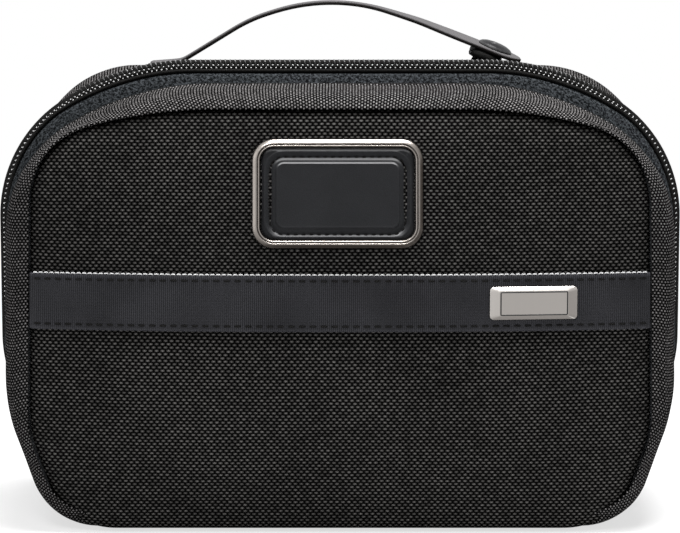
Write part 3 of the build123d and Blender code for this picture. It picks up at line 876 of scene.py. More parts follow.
class Coat:
    """One material while it is being built: its graph, shader and coordinates."""

    def __init__(self, name: str, uv: bool = True) -> None:
        """Starts a material.

        Args:
            name: its name.
            uv: whether it is laid by the mesh's flat coordinates, and not by place.
        """
        self.material = bpy.data.materials.new(name)
        self.material.use_nodes = True
        self.graph = Graph(self.material.node_tree)
        self.material.node_tree.nodes.clear()
        self.shader = self.graph.add("ShaderNodeBsdfPrincipled")
        end = self.graph.add("ShaderNodeOutputMaterial")
        self.graph.put(end.inputs["Surface"], self.shader.outputs[0])
        self.place = self.graph.add("ShaderNodeTexCoord").outputs["Object"]
        self.vector = self.graph.add("ShaderNodeUVMap", uv_map="UVMap").outputs["UV"] if uv else self.place

    def use(self, tree: bpy.types.NodeTree, **inputs: object) -> bpy.types.Node:
        """Places a node group.

        Args:
            tree: the group.
            **inputs: its inputs by name, with _ for a space.

        Returns:
            The group's node.
        """
        node = self.graph.add("ShaderNodeGroup")
        node.node_tree = tree
        for key, value in inputs.items():
            self.graph.put(node.inputs[key.replace("_", " ")], value)
        return node

    def set(self, **values: object) -> None:
        """Sets or links the shader's inputs by name, with _ for a space."""
        for key, value in values.items():
            if isinstance(value, tuple) and len(value) == 3:
                value = (*value, 1.0)
            self.graph.put(self.shader.inputs[key.replace("_", " ")], value)

    def bump(self, height: Socket, depth: float, strength: float = 1.0) -> None:
        """Adds relief.

        Args:
            height: value from 0 to 1.
            depth: what 1 stands for, in millimetres.
            strength: share of it that shows.
        """
        node = self.graph.add("ShaderNodeBump", {"Height": height, "Distance": depth * MM, "Strength": strength})
        self.graph.put(self.shader.inputs["Normal"], node.outputs[0])


@dataclass(frozen=True)
class WovenFinish:
    """Coarse woven nylon. As the shader has no specular, its light yarn colour is partly the yarn's own tone and
    partly a painted sheen; with lift over 1 the yarn is also lighter where it faces up, a painted top light.
    """

    name: str
    gap: Colour
    dark: Colour
    light: Colour
    float_length: float = 2.15
    row_height: float = 1.17
    relief: float = 0.42
    power: float = 3.0
    # How much lighter the yarn gets where the cloth faces up: a painted top light, none at 1.
    lift: float = 1.0

    def make(self, effects: Effects) -> bpy.types.Material:
        """Returns the material."""
        coat = Coat(self.name)
        graph = coat.graph
        weave = coat.use(effects.weave, Vector=coat.vector, Float_Length=self.float_length * MM,
                         Row_Height=self.row_height * MM)
        mottle = coat.use(effects.mottle, Vector=coat.place, Scale=28.0)
        shade = graph.plus(graph.scaled(weave.outputs["Shade"], 0.1, 0.5), graph.times(mottle.outputs["Slow"], 0.5))
        # The yarn's light colour, made lighter where the cloth faces up: a painted top light.
        facing = coat.use(effects.facing, Direction=(0.0, 0.0, 1.0)).outputs["Share"]
        painted_light = graph.blend(facing, self.light, brighter(self.light, self.lift))
        yarn = graph.blend(shade, self.dark, painted_light)
        rise = graph.math("POWER", weave.outputs["Yarn"], self.power)
        coat.set(Base_Color=graph.blend(rise, self.gap, yarn), Roughness=graph.scaled(rise, 0.8, 0.38),
                 Specular_IOR_Level=0.0)
        coat.bump(weave.outputs["Height"], self.relief)
        return coat.material


@dataclass(frozen=True)
class FineClothFinish:
    """Fine cloth: zip tape, binding and lining."""

    name: str
    dark: Colour
    light: Colour
    pitch: float
    sheen: float = 0.2
    by_place: bool = False

    def make(self, effects: Effects) -> bpy.types.Material:
        """Returns the material."""
        coat = Coat(self.name)
        graph = coat.graph
        vector = coat.vector
        if self.by_place:
            x, y, z = graph.split(coat.place)
            across, up = graph.plus(x, graph.times(y, 0.7)), graph.plus(z, y)
            vector = graph.add("ShaderNodeCombineXYZ", {"X": across, "Y": up}).outputs[0]
        twill = coat.use(effects.twill, Vector=vector, Pitch=self.pitch * MM)
        mottle = coat.use(effects.mottle, Vector=coat.place, Scale=120.0)
        share = graph.times(graph.plus(twill.outputs["Fuzz"], mottle.outputs["Fine"]), 0.5)
        share = graph.ranged(share, 0.44, 0.60)
        lift = graph.times(share, graph.scaled(twill.outputs["Height"], 0.55, 1.0))
        coat.set(Base_Color=graph.blend(lift, self.dark, self.light), Roughness=0.9,
                 Sheen_Weight=self.sheen, Sheen_Roughness=0.5, Specular_IOR_Level=0.03)
        coat.bump(graph.plus(twill.outputs["Height"], twill.outputs["Fuzz"]), 0.12)
        return coat.material


@dataclass(frozen=True)
class CoatedFinish:
    """Ribbed coated fabric of the band."""

    name: str
    dark: Colour
    light: Colour
    pitch: float = 0.72

    def make(self, effects: Effects) -> bpy.types.Material:
        """Returns the material."""
        coat = Coat(self.name)
        graph = coat.graph
        x, _, z = graph.split(coat.place)
        ribs = coat.use(effects.ribs, Along=x, Pitch=self.pitch * MM)
        rows = coat.use(effects.ribs, Along=z, Pitch=self.pitch * 1.5 * MM)
        mottle = coat.use(effects.mottle, Vector=coat.place, Scale=40.0)
        wear = coat.use(effects.wear, Vector=coat.place, Amount=0.6)
        share = graph.times(mottle.outputs["Slow"], graph.scaled(ribs.outputs["Height"], 0.2, 1.6))
        colour = graph.blend(share, self.dark, self.light)
        coat.set(Base_Color=graph.blend(wear.outputs["Mask"], colour, brighter(self.light, 3)),
                 Roughness=graph.scaled(mottle.outputs["Fine"], 0.42, 0.6), Specular_IOR_Level=0.12)
        height = graph.plus(ribs.outputs["Height"], graph.times(rows.outputs["Height"], 0.5))
        coat.bump(height, 0.14)
        return coat.material


@dataclass(frozen=True)
class LeatherFinish:
    """Leather with pebbled grain and edge wear, and a painted highlight colour on faces that turn up."""

    name: str
    dark: Colour
    light: Colour
    scale: float
    relief: float
    rough: float
    specular: float
    highlight_power: float
    painted_highlight: Colour

    def make(self, effects: Effects) -> bpy.types.Material:
        """Returns the material."""
        coat = Coat(self.name, uv=False)
        graph = coat.graph
        grain = coat.use(effects.grain, Vector=coat.place, Scale=self.scale)
        mottle = coat.use(effects.mottle, Vector=coat.place, Scale=60.0)
        wear = coat.use(effects.wear, Vector=coat.place, Amount=0.8)
        colour = graph.blend(mottle.outputs["Slow"], self.dark, self.light)
        colour = graph.blend(graph.times(grain.outputs["Crease"], 0.6), colour, self.dark)
        colour = graph.blend(wear.outputs["Mask"], colour, brighter(self.light, 2.5))
        # Faces that turn up take on a lighter colour: a painted highlight, narrower as the power grows.
        facing = coat.use(effects.facing, Direction=(0.0, -0.3, 0.95)).outputs["Share"]
        colour = graph.blend(graph.math("POWER", facing, self.highlight_power), colour, self.painted_highlight)
        coat.set(Base_Color=colour, Roughness=graph.scaled(grain.outputs["Crease"], self.rough, 0.75),
                 Specular_IOR_Level=self.specular)
        coat.bump(grain.outputs["Height"], self.relief)
        return coat.material


@dataclass(frozen=True)
class MetalFinish:
    """Plated metal with fine brushing and edge wear; with its flag set, painted light and shade by which way each
    face turns.
    """

    name: str
    dark: Colour
    light: Colour
    rough: float
    brush: tuple[float, float, float] = (60.0, 60.0, 2500.0)
    # Whether the colour carries painted light and shade by which way each face turns.
    painted_light: bool = False

    def make(self, effects: Effects) -> bpy.types.Material:
        """Returns the material."""
        coat = Coat(self.name, uv=False)
        graph = coat.graph
        stretched = graph.add("ShaderNodeMapping", {"Vector": coat.place, "Scale": self.brush}).outputs[0]
        lines = graph.noise(stretched, 1.0, 4.0)
        mottle = coat.use(effects.mottle, Vector=coat.place, Scale=90.0)
        wear = coat.use(effects.wear, Vector=coat.place, Amount=1.0)
        share = graph.times(graph.plus(lines, mottle.outputs["Slow"]), 0.5)
        # With the flag set, the colour runs from dark to light by how far a face turns up and to the left, towards
        # the lamps: painted light and shade.
        if self.painted_light:
            facing = coat.use(effects.facing, Direction=(-0.55, -0.36, 0.75)).outputs["Share"]
            share = graph.times(facing, graph.scaled(share, 0.85, 1.1))
        colour = graph.blend(share, self.dark, self.light)
        colour = graph.blend(wear.outputs["Mask"], colour, brighter(self.light, 1.6))
        coat.set(Base_Color=colour, Metallic=1.0, Roughness=graph.scaled(lines, self.rough * 0.8, self.rough * 1.3))
        coat.bump(lines, 0.01, 0.4)
        return coat.material


@dataclass(frozen=True)
class GlossFinish:
    """Glossy enamel or hard plastic."""

    name: str
    dark: Colour
    light: Colour
    rough: float = 0.16
    coat: float = 0.6
    specular: float = 0.4

    def make(self, effects: Effects) -> bpy.types.Material:
        """Returns the material."""
        coat = Coat(self.name, uv=False)
        graph = coat.graph
        mottle = coat.use(effects.mottle, Vector=coat.place, Scale=160.0)
        wear = coat.use(effects.wear, Vector=coat.place, Amount=0.5)
        colour = graph.blend(mottle.outputs["Slow"], self.dark, self.light)
        coat.set(Base_Color=graph.blend(wear.outputs["Mask"], colour, (0.3, 0.3, 0.3)),
                 Roughness=graph.scaled(mottle.outputs["Fine"], self.rough * 0.7, self.rough * 1.4),
                 Coat_Weight=self.coat, Coat_Roughness=0.06, Specular_IOR_Level=self.specular)
        coat.bump(mottle.outputs["Fine"], 0.01, 0.5)
        return coat.material


@dataclass(frozen=True)
class ThreadFinish:
    """Twisted thread, cord, net and elastic."""

    name: str
    dark: Colour
    light: Colour
    pitch: float = 0.6
    rough: float = 0.6

    def make(self, effects: Effects) -> bpy.types.Material:
        """Returns the material."""
        coat = Coat(self.name, uv=False)
        graph = coat.graph
        x, y, z = graph.split(coat.place)
        slant = graph.plus(graph.plus(x, y), z)
        ribs = coat.use(effects.ribs, Along=slant, Pitch=self.pitch * MM)
        mottle = coat.use(effects.mottle, Vector=coat.place, Scale=200.0)
        share = graph.times(mottle.outputs["Fine"], graph.scaled(ribs.outputs["Height"], 0.6, 1.2))
        coat.set(Base_Color=graph.blend(share, self.dark, self.light), Roughness=self.rough, Specular_IOR_Level=0.02)
        coat.bump(ribs.outputs["Height"], 0.05)
        return coat.material


class Slot(Enum):
    """Material slots of the record."""

    CLOTH = "ballistic_cloth"
    LINING = "lining_cloth"
    BINDING = "binding_tape"
    TAPE = "zip_tape"
    COIL = "zip_coil"
    BAND = "coated_band"
    STRAP = "strap_leather"
    PATCH = "patch_leather"
    DARK_METAL = "dark_nickel"
    PALE_METAL = "pale_nickel"
    STEEL = "steel"
    ENAMEL = "black_enamel"
    NET = "net"
    ELASTIC = "elastic"


FINISHES = {
    Slot.CLOTH: WovenFinish("ballistic nylon", (0.001, 0.001, 0.001), (0.008, 0.0078, 0.0076),
                            (0.132, 0.127, 0.122)),
    Slot.LINING: FineClothFinish("lining twill", (0.022, 0.023, 0.025), (0.075, 0.078, 0.084), 0.7, 0.3,
                                 by_place=True),
    Slot.BINDING: FineClothFinish("binding tape", (0.006, 0.006, 0.007), (0.04, 0.04, 0.043), 0.8),
    Slot.TAPE: FineClothFinish("zip tape cloth", (0.002, 0.0024, 0.0028), (0.048, 0.053, 0.058), 0.75, 0.0),
    Slot.COIL: GlossFinish("zip coil nylon", (0.004, 0.004, 0.0045), (0.014, 0.014, 0.015), 0.3, 0.15, 0.1),
    Slot.BAND: CoatedFinish("coated band", (0.004, 0.004, 0.005), (0.026, 0.026, 0.030)),
    # Both leathers paint a highlight on faces that turn up: the strap along its top face, the patch on the ridges of
    # its field and channel.
    Slot.STRAP: LeatherFinish("strap leather", (0.006, 0.0052, 0.0052), (0.020, 0.018, 0.0175), scale=1100.0,
                              relief=0.04, rough=0.6, specular=0.0, highlight_power=3.0, painted_highlight=(0.085, 0.082, 0.084)),
    Slot.PATCH: LeatherFinish("patch leather", (0.010, 0.0104, 0.0112), (0.019, 0.0194, 0.0212), scale=1500.0,
                              relief=0.02, rough=0.5, specular=0.05, highlight_power=9.0, painted_highlight=(0.20, 0.20, 0.205)),
    Slot.DARK_METAL: MetalFinish("dark nickel", (0.17, 0.15, 0.135), (0.40, 0.365, 0.335), 0.24),
    # Plate metal with painted light and shade by which way each face turns.
    Slot.PALE_METAL: MetalFinish("champagne nickel", (0.27, 0.25, 0.235), (0.64, 0.61, 0.58), 0.30,
                                 (2500.0, 60.0, 60.0), painted_light=True),
    Slot.STEEL: MetalFinish("steel", (0.35, 0.35, 0.36), (0.6, 0.6, 0.62), 0.3),
    Slot.ENAMEL: GlossFinish("black enamel", (0.003, 0.003, 0.004), (0.010, 0.010, 0.011), 0.3, 0.0, 0.05),
    Slot.NET: ThreadFinish("net thread", (0.01, 0.01, 0.01), (0.05, 0.05, 0.052), 0.5),
    Slot.ELASTIC: ThreadFinish("elastic", (0.01, 0.01, 0.011), (0.06, 0.06, 0.064), 0.9, 0.7),
}


class Wardrobe:
    """Builds each finish once and puts it on pieces."""

    def __init__(self) -> None:
        """Builds the shared effects."""
        self.effects = Effects()
        self.made: dict[Slot, bpy.types.Material] = {}
        thread = ThreadFinish("sewing thread", (0.002, 0.002, 0.002), (0.016, 0.0155, 0.015), 0.35)
        self.thread = thread.make(self.effects)
        # Pale thread for rows of beads that paint glints: along the zip coil and along the band's top fold.
        painted_glint = ThreadFinish("bright thread", (0.25, 0.25, 0.25), (0.80, 0.80, 0.80), 0.35)
        self.painted_glint_thread = painted_glint.make(self.effects)
        # The gusset's nylon is a lighter copy of the panel's: the extra lightness of its yarn is a painted sheen, and
        # lift paints a top light where it faces up.
        gusset = WovenFinish("gusset nylon", (0.001, 0.001, 0.001), (0.012, 0.0116, 0.0114), (0.245, 0.235, 0.234),
                             float_length=1.9, row_height=1.06, relief=0.5, power=3.4, lift=1.4)
        self.gusset = gusset.make(self.effects)
        # Bronze of the patch frame; its range from dark to light is painted light and shade by which way each face
        # turns.
        bronze = MetalFinish("satin bronze", (0.035, 0.029, 0.025), (0.36, 0.33, 0.305), 0.26, (60.0, 60.0, 1500.0),
                             painted_light=True)
        self.bronze = bronze.make(self.effects)
        oxide = GlossFinish("black oxide", (0.003, 0.003, 0.003), (0.012, 0.0118, 0.0115), 0.5, 0.0, 0.12)
        self.oxide = oxide.make(self.effects)
        black_line = GlossFinish("black inlay", (0.004, 0.004, 0.004), (0.01, 0.01, 0.01), 0.4, 0.0)
        self.black_line = black_line.make(self.effects)

    def material(self, slot: Slot) -> bpy.types.Material:
        """Returns the material of a slot."""
        if slot not in self.made:
            self.made[slot] = FINISHES[slot].make(self.effects)
        return self.made[slot]

    def dress(self, piece: bpy.types.Object, slot: Slot, body: Body | None, replaces: Sequence[str] = (),
              material: bpy.types.Material | None = None) -> bpy.types.Object:
        """Gives a piece its material, from its slot unless another is given, and its body.

        Args:
            piece: mesh object.
            slot: material slot of the record.
            body: body that carries it, or none to leave it on no body.
            replaces: CAD nodes that it stands for.
            material: material to use instead of the slot's own.

        Returns:
            The piece.
        """
        piece.data.materials.clear()
        piece.data.materials.append(material or self.material(slot))
        if body:
            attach(piece, body.value)
        if replaces:
            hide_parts(*replaces)
        LOG.info("%s rides on %s", piece.name, body.value if body else "two bodies")
        return piece

    def keep(self, node: str, material: bpy.types.Material) -> None:
        """Gives a CAD node that stays a better material.

        Args:
            node: its name.
            material: what it gets.
        """
        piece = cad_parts[node]
        for place in piece.material_slots:
            place.material = material
        LOG.info("%s keeps its solid", node)


# ---- the bag's parts ----


class Skin:
    """Outer skin of a gusset as a table of rings, so that it can be read at any depth."""

    def __init__(self, half: Half, columns: int = 384) -> None:
        """Samples the skin.

        Args:
            half: the half.
            columns: points round it.
        """
        self.half = half
        self.depths = np.arange(half.depths[0], half.seam + 0.5, 0.8)
        self.rings = np.array([half.outline(depth, 0.0, columns) for depth in self.depths])
        self.normals = np.array([inward(r) for r in self.rings])

    def at(self, column: int, depth: float, offset: float) -> np.ndarray:
        """Point under the skin.

        Args:
            column: which point round the ring.
            depth: distance from the zip.
            offset: how far inside the skin.

        Returns:
            x, y and z.
        """
        spot = np.interp(min(depth, self.half.seam), self.depths, np.arange(len(self.depths)))
        low = int(spot)
        high, share = min(low + 1, len(self.depths) - 1), spot - low
        flat = self.rings[low, column] * (1 - share) + self.rings[high, column] * share
        way = self.normals[low, column] * (1 - share) + self.normals[high, column] * share
        flat = flat + way * offset
        return np.array(self.half.place(flat[0], depth, flat[1]))


@dataclass
class Gusset:
    """Padded wall of a half, from the zip's rim to the panel seam."""

    half: Half
    wardrobe: Wardrobe
    cloth: float = 1.5
    ripple: float = 0.35

    def start_depth(self, z: float) -> float:
        """Returns where the wall starts: at the rim, or near the fold under the zip's end."""
        share = clamp((z - ZIP_END + 1.5) / 3.0)
        return 0.45 + (self.half.rim - 0.45) * share

    def profile(self, start: float) -> list[tuple[float, float]]:
        """Section of the wall.

        Args:
            start: depth of its rim.

        Returns:
            Depth and offset under the skin of each point, round the section.
        """
        seam, cloth = self.half.seam, self.cloth
        shared, rolled, tucked = 16.0, start + 2.0, seam - 3.2
        outer = [(start + 0.1, 0.1), (start + 0.5, -0.35), (start + 1.2, -0.45), (rolled, -0.15)]
        outer += [(rolled + (shared - rolled) * k / 3, 0.0) for k in range(1, 4)]
        outer += [(shared + (seam - shared) * k / 13, 0.0) for k in range(1, 13)]
        turn = [(seam - 0.9, 0.0), (seam - 0.25, 0.1), (seam + 0.1, 0.4), (seam - 0.1, 0.8), (seam - 0.9, 1.0),
                (tucked, 1.1)]
        inner = [(tucked - (tucked - rolled) * k / 6, cloth) for k in range(1, 7)]
        nose = [(start + 0.5, cloth), (start + 0.1, cloth - 0.3), (start, cloth / 2)]
        return outer + turn + inner + nose

    def build(self) -> bpy.types.Object:
        """Makes the wall and returns it."""
        skin = Skin(self.half)
        columns = skin.rings.shape[1]
        rows = []
        for c in range(columns):
            out = np.array((skin.normals[0, c, 0], 0.0, skin.normals[0, c, 1]))
            section = []
            for depth, offset in self.profile(self.start_depth(skin.rings[0, c, 1])):
                point = skin.at(c, depth, offset)
                calm = clamp((self.half.seam - depth) / 8) * clamp((depth - 9) / 6) * min(point[2] / 12, 1)
                waves = wander(point, 34.0, 3.0 + self.half.side) + 0.5 * wander(point, 13.0, 9.0)
                section.append(point - out * self.ripple * calm * waves)
            rows.append(section)
        points = np.array(rows).transpose(1, 0, 2)
        wall = grid(f"{self.half.name}_gusset_cloth", points, wrap_rows=True, wrap_columns=True,
                    flip=self.half.side < 0, turned=True)
        node = f"{self.half.name}_gusset"
        # The wall wears the lighter gusset copy of the nylon, with its painted sheen and painted top light.
        return self.wardrobe.dress(wall, Slot.CLOTH, self.half.body, (node,), self.wardrobe.gusset)


@dataclass
class Cushion:
    """Padded panel: a closed pillow of cloth over foam, puffed up between its seams."""

    half: Half
    wardrobe: Wardrobe
    cells_x: int = 88
    cells_z: int = 58
    thickness: float = 4.4
    edge_drop: float = 2.6
    sewn_band: tuple[float, float] = (76.6, 94.4)
    sewn_share: float = 0.955
    patch_bed: tuple[float, float, float] = (29.0, 18.0, 125.2)
    pressure: float = 4.0
    most_puff: float = 2.2

    def __post_init__(self) -> None:
        """Works out the panel's outline."""
        self.outline = ring(SEAM, Insets(0.9, 0.9, 0.9), 720)
        self.reach = Reach(self.outline)

    def depth(self, share: float) -> float:
        """Returns the depth of the panel's face, from how far out it is."""
        roll = max((share - 0.94) / 0.06, 0.0)
        return self.half.crowned(share) - self.edge_drop * roll**2.2

    def crown(self, x: float, z: float) -> float:
        """Returns the depth of the plain crown at a place, without the rolled edge."""
        return self.half.crowned(min(self.reach.share(x, z), 1.0))

    def slope(self, x: float, z: float) -> np.ndarray:
        """Returns the direction away from the panel's face at a place."""
        step = 0.5
        dx = (self.crown(x + step, z) - self.crown(x - step, z)) / (2 * step)
        dz = (self.crown(x, z + step) - self.crown(x, z - step)) / (2 * step)
        return unit(np.array((-dx, -self.half.side, -dz)))

    def build(self) -> bpy.types.Object:
        """Makes the pillow and returns it."""
        nx, nz = self.cells_x, self.cells_z
        wide, high = self.outline[:, 0].max(), (self.outline[:, 1].max() - self.outline[:, 1].min()) / 2
        front, shares = np.zeros((nz + 1, nx + 1, 3)), np.zeros((nz + 1, nx + 1))
        for j in range(nz + 1):
            for i in range(nx + 1):
                a, b = 2 * i / nx - 1, 2 * j / nz - 1
                share = max(abs(a), abs(b))
                angle = math.atan2(b * high, a * wide)
                length = self.reach.length(angle) * share
                x, z = CENTRE[0] + math.cos(angle) * length, CENTRE[1] + math.sin(angle) * length
                shares[j, i] = share
                front[j, i] = self.half.place(x, self.depth(share), z)
        rear = front.copy()
        rear[:, :, 1] = -self.half.side * (self.half.seam - self.thickness)
        verts = np.concatenate((front.reshape(-1, 3), rear.reshape(-1, 3)))
        count = (nz + 1) * (nx + 1)
        faces = []
        for j in range(nz):
            for i in range(nx):
                a = j * (nx + 1) + i
                face = (a, a + 1, a + nx + 2, a + nx + 1)
                faces += [face, tuple(v + count for v in face[::-1])]
        border = list(range(nx + 1)) + [(j + 1) * (nx + 1) - 1 for j in range(1, nz + 1)]
        border += [nz * (nx + 1) + i for i in range(nx - 1, -1, -1)]
        border += [j * (nx + 1) for j in range(nz - 1, 0, -1)]
        for a, b in zip(border, border[1:] + border[:1]):
            faces.append((b, a, a + count, b + count))
        if self.half.side < 0:
            faces = [face[::-1] for face in faces]
        pillow = new_object(f"{self.half.name}_cushion", verts, faces)
        inflate(pillow, self.held(front, shares, count), self.pressure, self.most_puff)
        self.settle(pillow, count)
        subdivide(pillow)
        replaced = (f"{self.half.name}_panel", f"{self.half.name}_foam_pad")
        return self.wardrobe.dress(pillow, Slot.CLOTH, self.half.body, replaced)

    def held(self, front: np.ndarray, shares: np.ndarray, count: int) -> list[int]:
        """Points that the seams, band and patch hold down.

        Args:
            front: the face's points.
            shares: how far out each is.
            count: number of points in the face.

        Returns:
            Their indices, those of the whole rear among them.
        """
        flat, far = front.reshape(-1, 3), shares.ravel()
        sewn = far > self.sewn_share
        if self.half.side > 0:
            low, high = self.sewn_band
            sewn |= (flat[:, 2] > low) & (flat[:, 2] < high)
            half_width, half_height, middle = self.patch_bed
            sewn |= (abs(flat[:, 0]) < half_width) & (abs(flat[:, 2] - middle) < half_height)
        return [int(i) for i in np.flatnonzero(sewn)] + list(range(count, 2 * count))

    def settle(self, pillow: bpy.types.Object, count: int) -> None:
        """Adds the slack and gathers of sewn cloth to the face.

        Args:
            pillow: the cushion.
            count: number of points in its face.
        """
        for vertex in pillow.data.vertices[:count]:
            x, _, z = vertex.co / MM
            calm = 1 - min(self.reach.share(x, z), 1.0) ** 6
            lift = 0.45 * wander((x, 0, z), 46.0, 5.0 + self.half.side) + 0.18 * wander((x, 0, z), 17.0, 2.0)
            if self.half.side > 0:
                under_band = clamp((75.0 - z) / 6.0) * 1.2 * math.exp(-(((z - 52) / 26) ** 2))
                drawn_in = 1.5 * math.exp(-(((z - 73.9) / 2.2) ** 2))
                lift += (under_band - drawn_in) * calm
                if abs(x) < 32 and 104 < z < 147:
                    lift = min(lift, 0.0)
            vertex.co.y -= self.half.side * lift * calm * MM
        pillow.data.update()


LINING_CUTS = {"front": ((0.300, 0.216), 0.0539), "back": ((0.308, 0.224), 0.0576)}


@dataclass
class Lining:
    """Lining of a half: a soft tray inside the gusset and over the panel's foam."""

    half: Half
    wardrobe: Wardrobe
    flat: tuple[float, float]
    area: float
    offset: float = 2.7
    thickness: float = 0.4
    columns: int = 240

    def build(self) -> bpy.types.Object:
        """Makes the tray and returns it."""
        half = self.half
        floor = half.seam - 5.2
        rows = []
        depths = [11.4, 13.0, 16.0, 20.0, 24.0, 28.0, 32.0, 36.0, floor - 2.5, floor - 0.9, floor - 0.2, floor]
        extras = [0.0] * 8 + [0.0, 0.5, 1.4, 3.0]
        for depth, extra in zip(depths, extras):
            outline = half.outline(depth, self.offset + extra, self.columns)
            rows.append(half.row(outline, depth))
        base = half.outline(floor, self.offset + 3.0, self.columns)
        for k in range(1, 12):
            scale = 1 - k / 11
            row = np.array(CENTRE) + (base - np.array(CENTRE)) * max(scale, 0.002)
            rows.append([half.place(x, floor + 0.25 * wander((x, 0, z), 24.0, 4.0), z) for x, z in row])
        points = np.array(rows)
        tray = grid(f"{half.name}_lining_cloth", points, wrap_columns=True, flip=half.side > 0)
        below = self.low_strip(points[0])
        self.wardrobe.dress(below, Slot.LINING, half.body)
        thicken(tray, self.thickness, 0.0)
        return self.wardrobe.dress(tray, Slot.LINING, half.body, (f"{half.name}_lining",))

    def low_strip(self, edge: np.ndarray) -> bpy.types.Object:
        """Makes the strip of lining under the zip's end, from the tray to the fold.

        Args:
            edge: the tray's first row.

        Returns:
            The strip.
        """
        half = self.half
        rows = [half.row(half.outline(depth, self.offset, self.columns), depth) for depth in (0.5, 4.0, 8.0, 11.4)]
        strip = grid(f"{half.name}_lining_strip", np.array(rows), wrap_columns=True,
                     keep=lambda r, c: edge[c][2] < ZIP_END, flip=half.side > 0)
        thicken(strip, self.thickness, 0.0)
        return strip


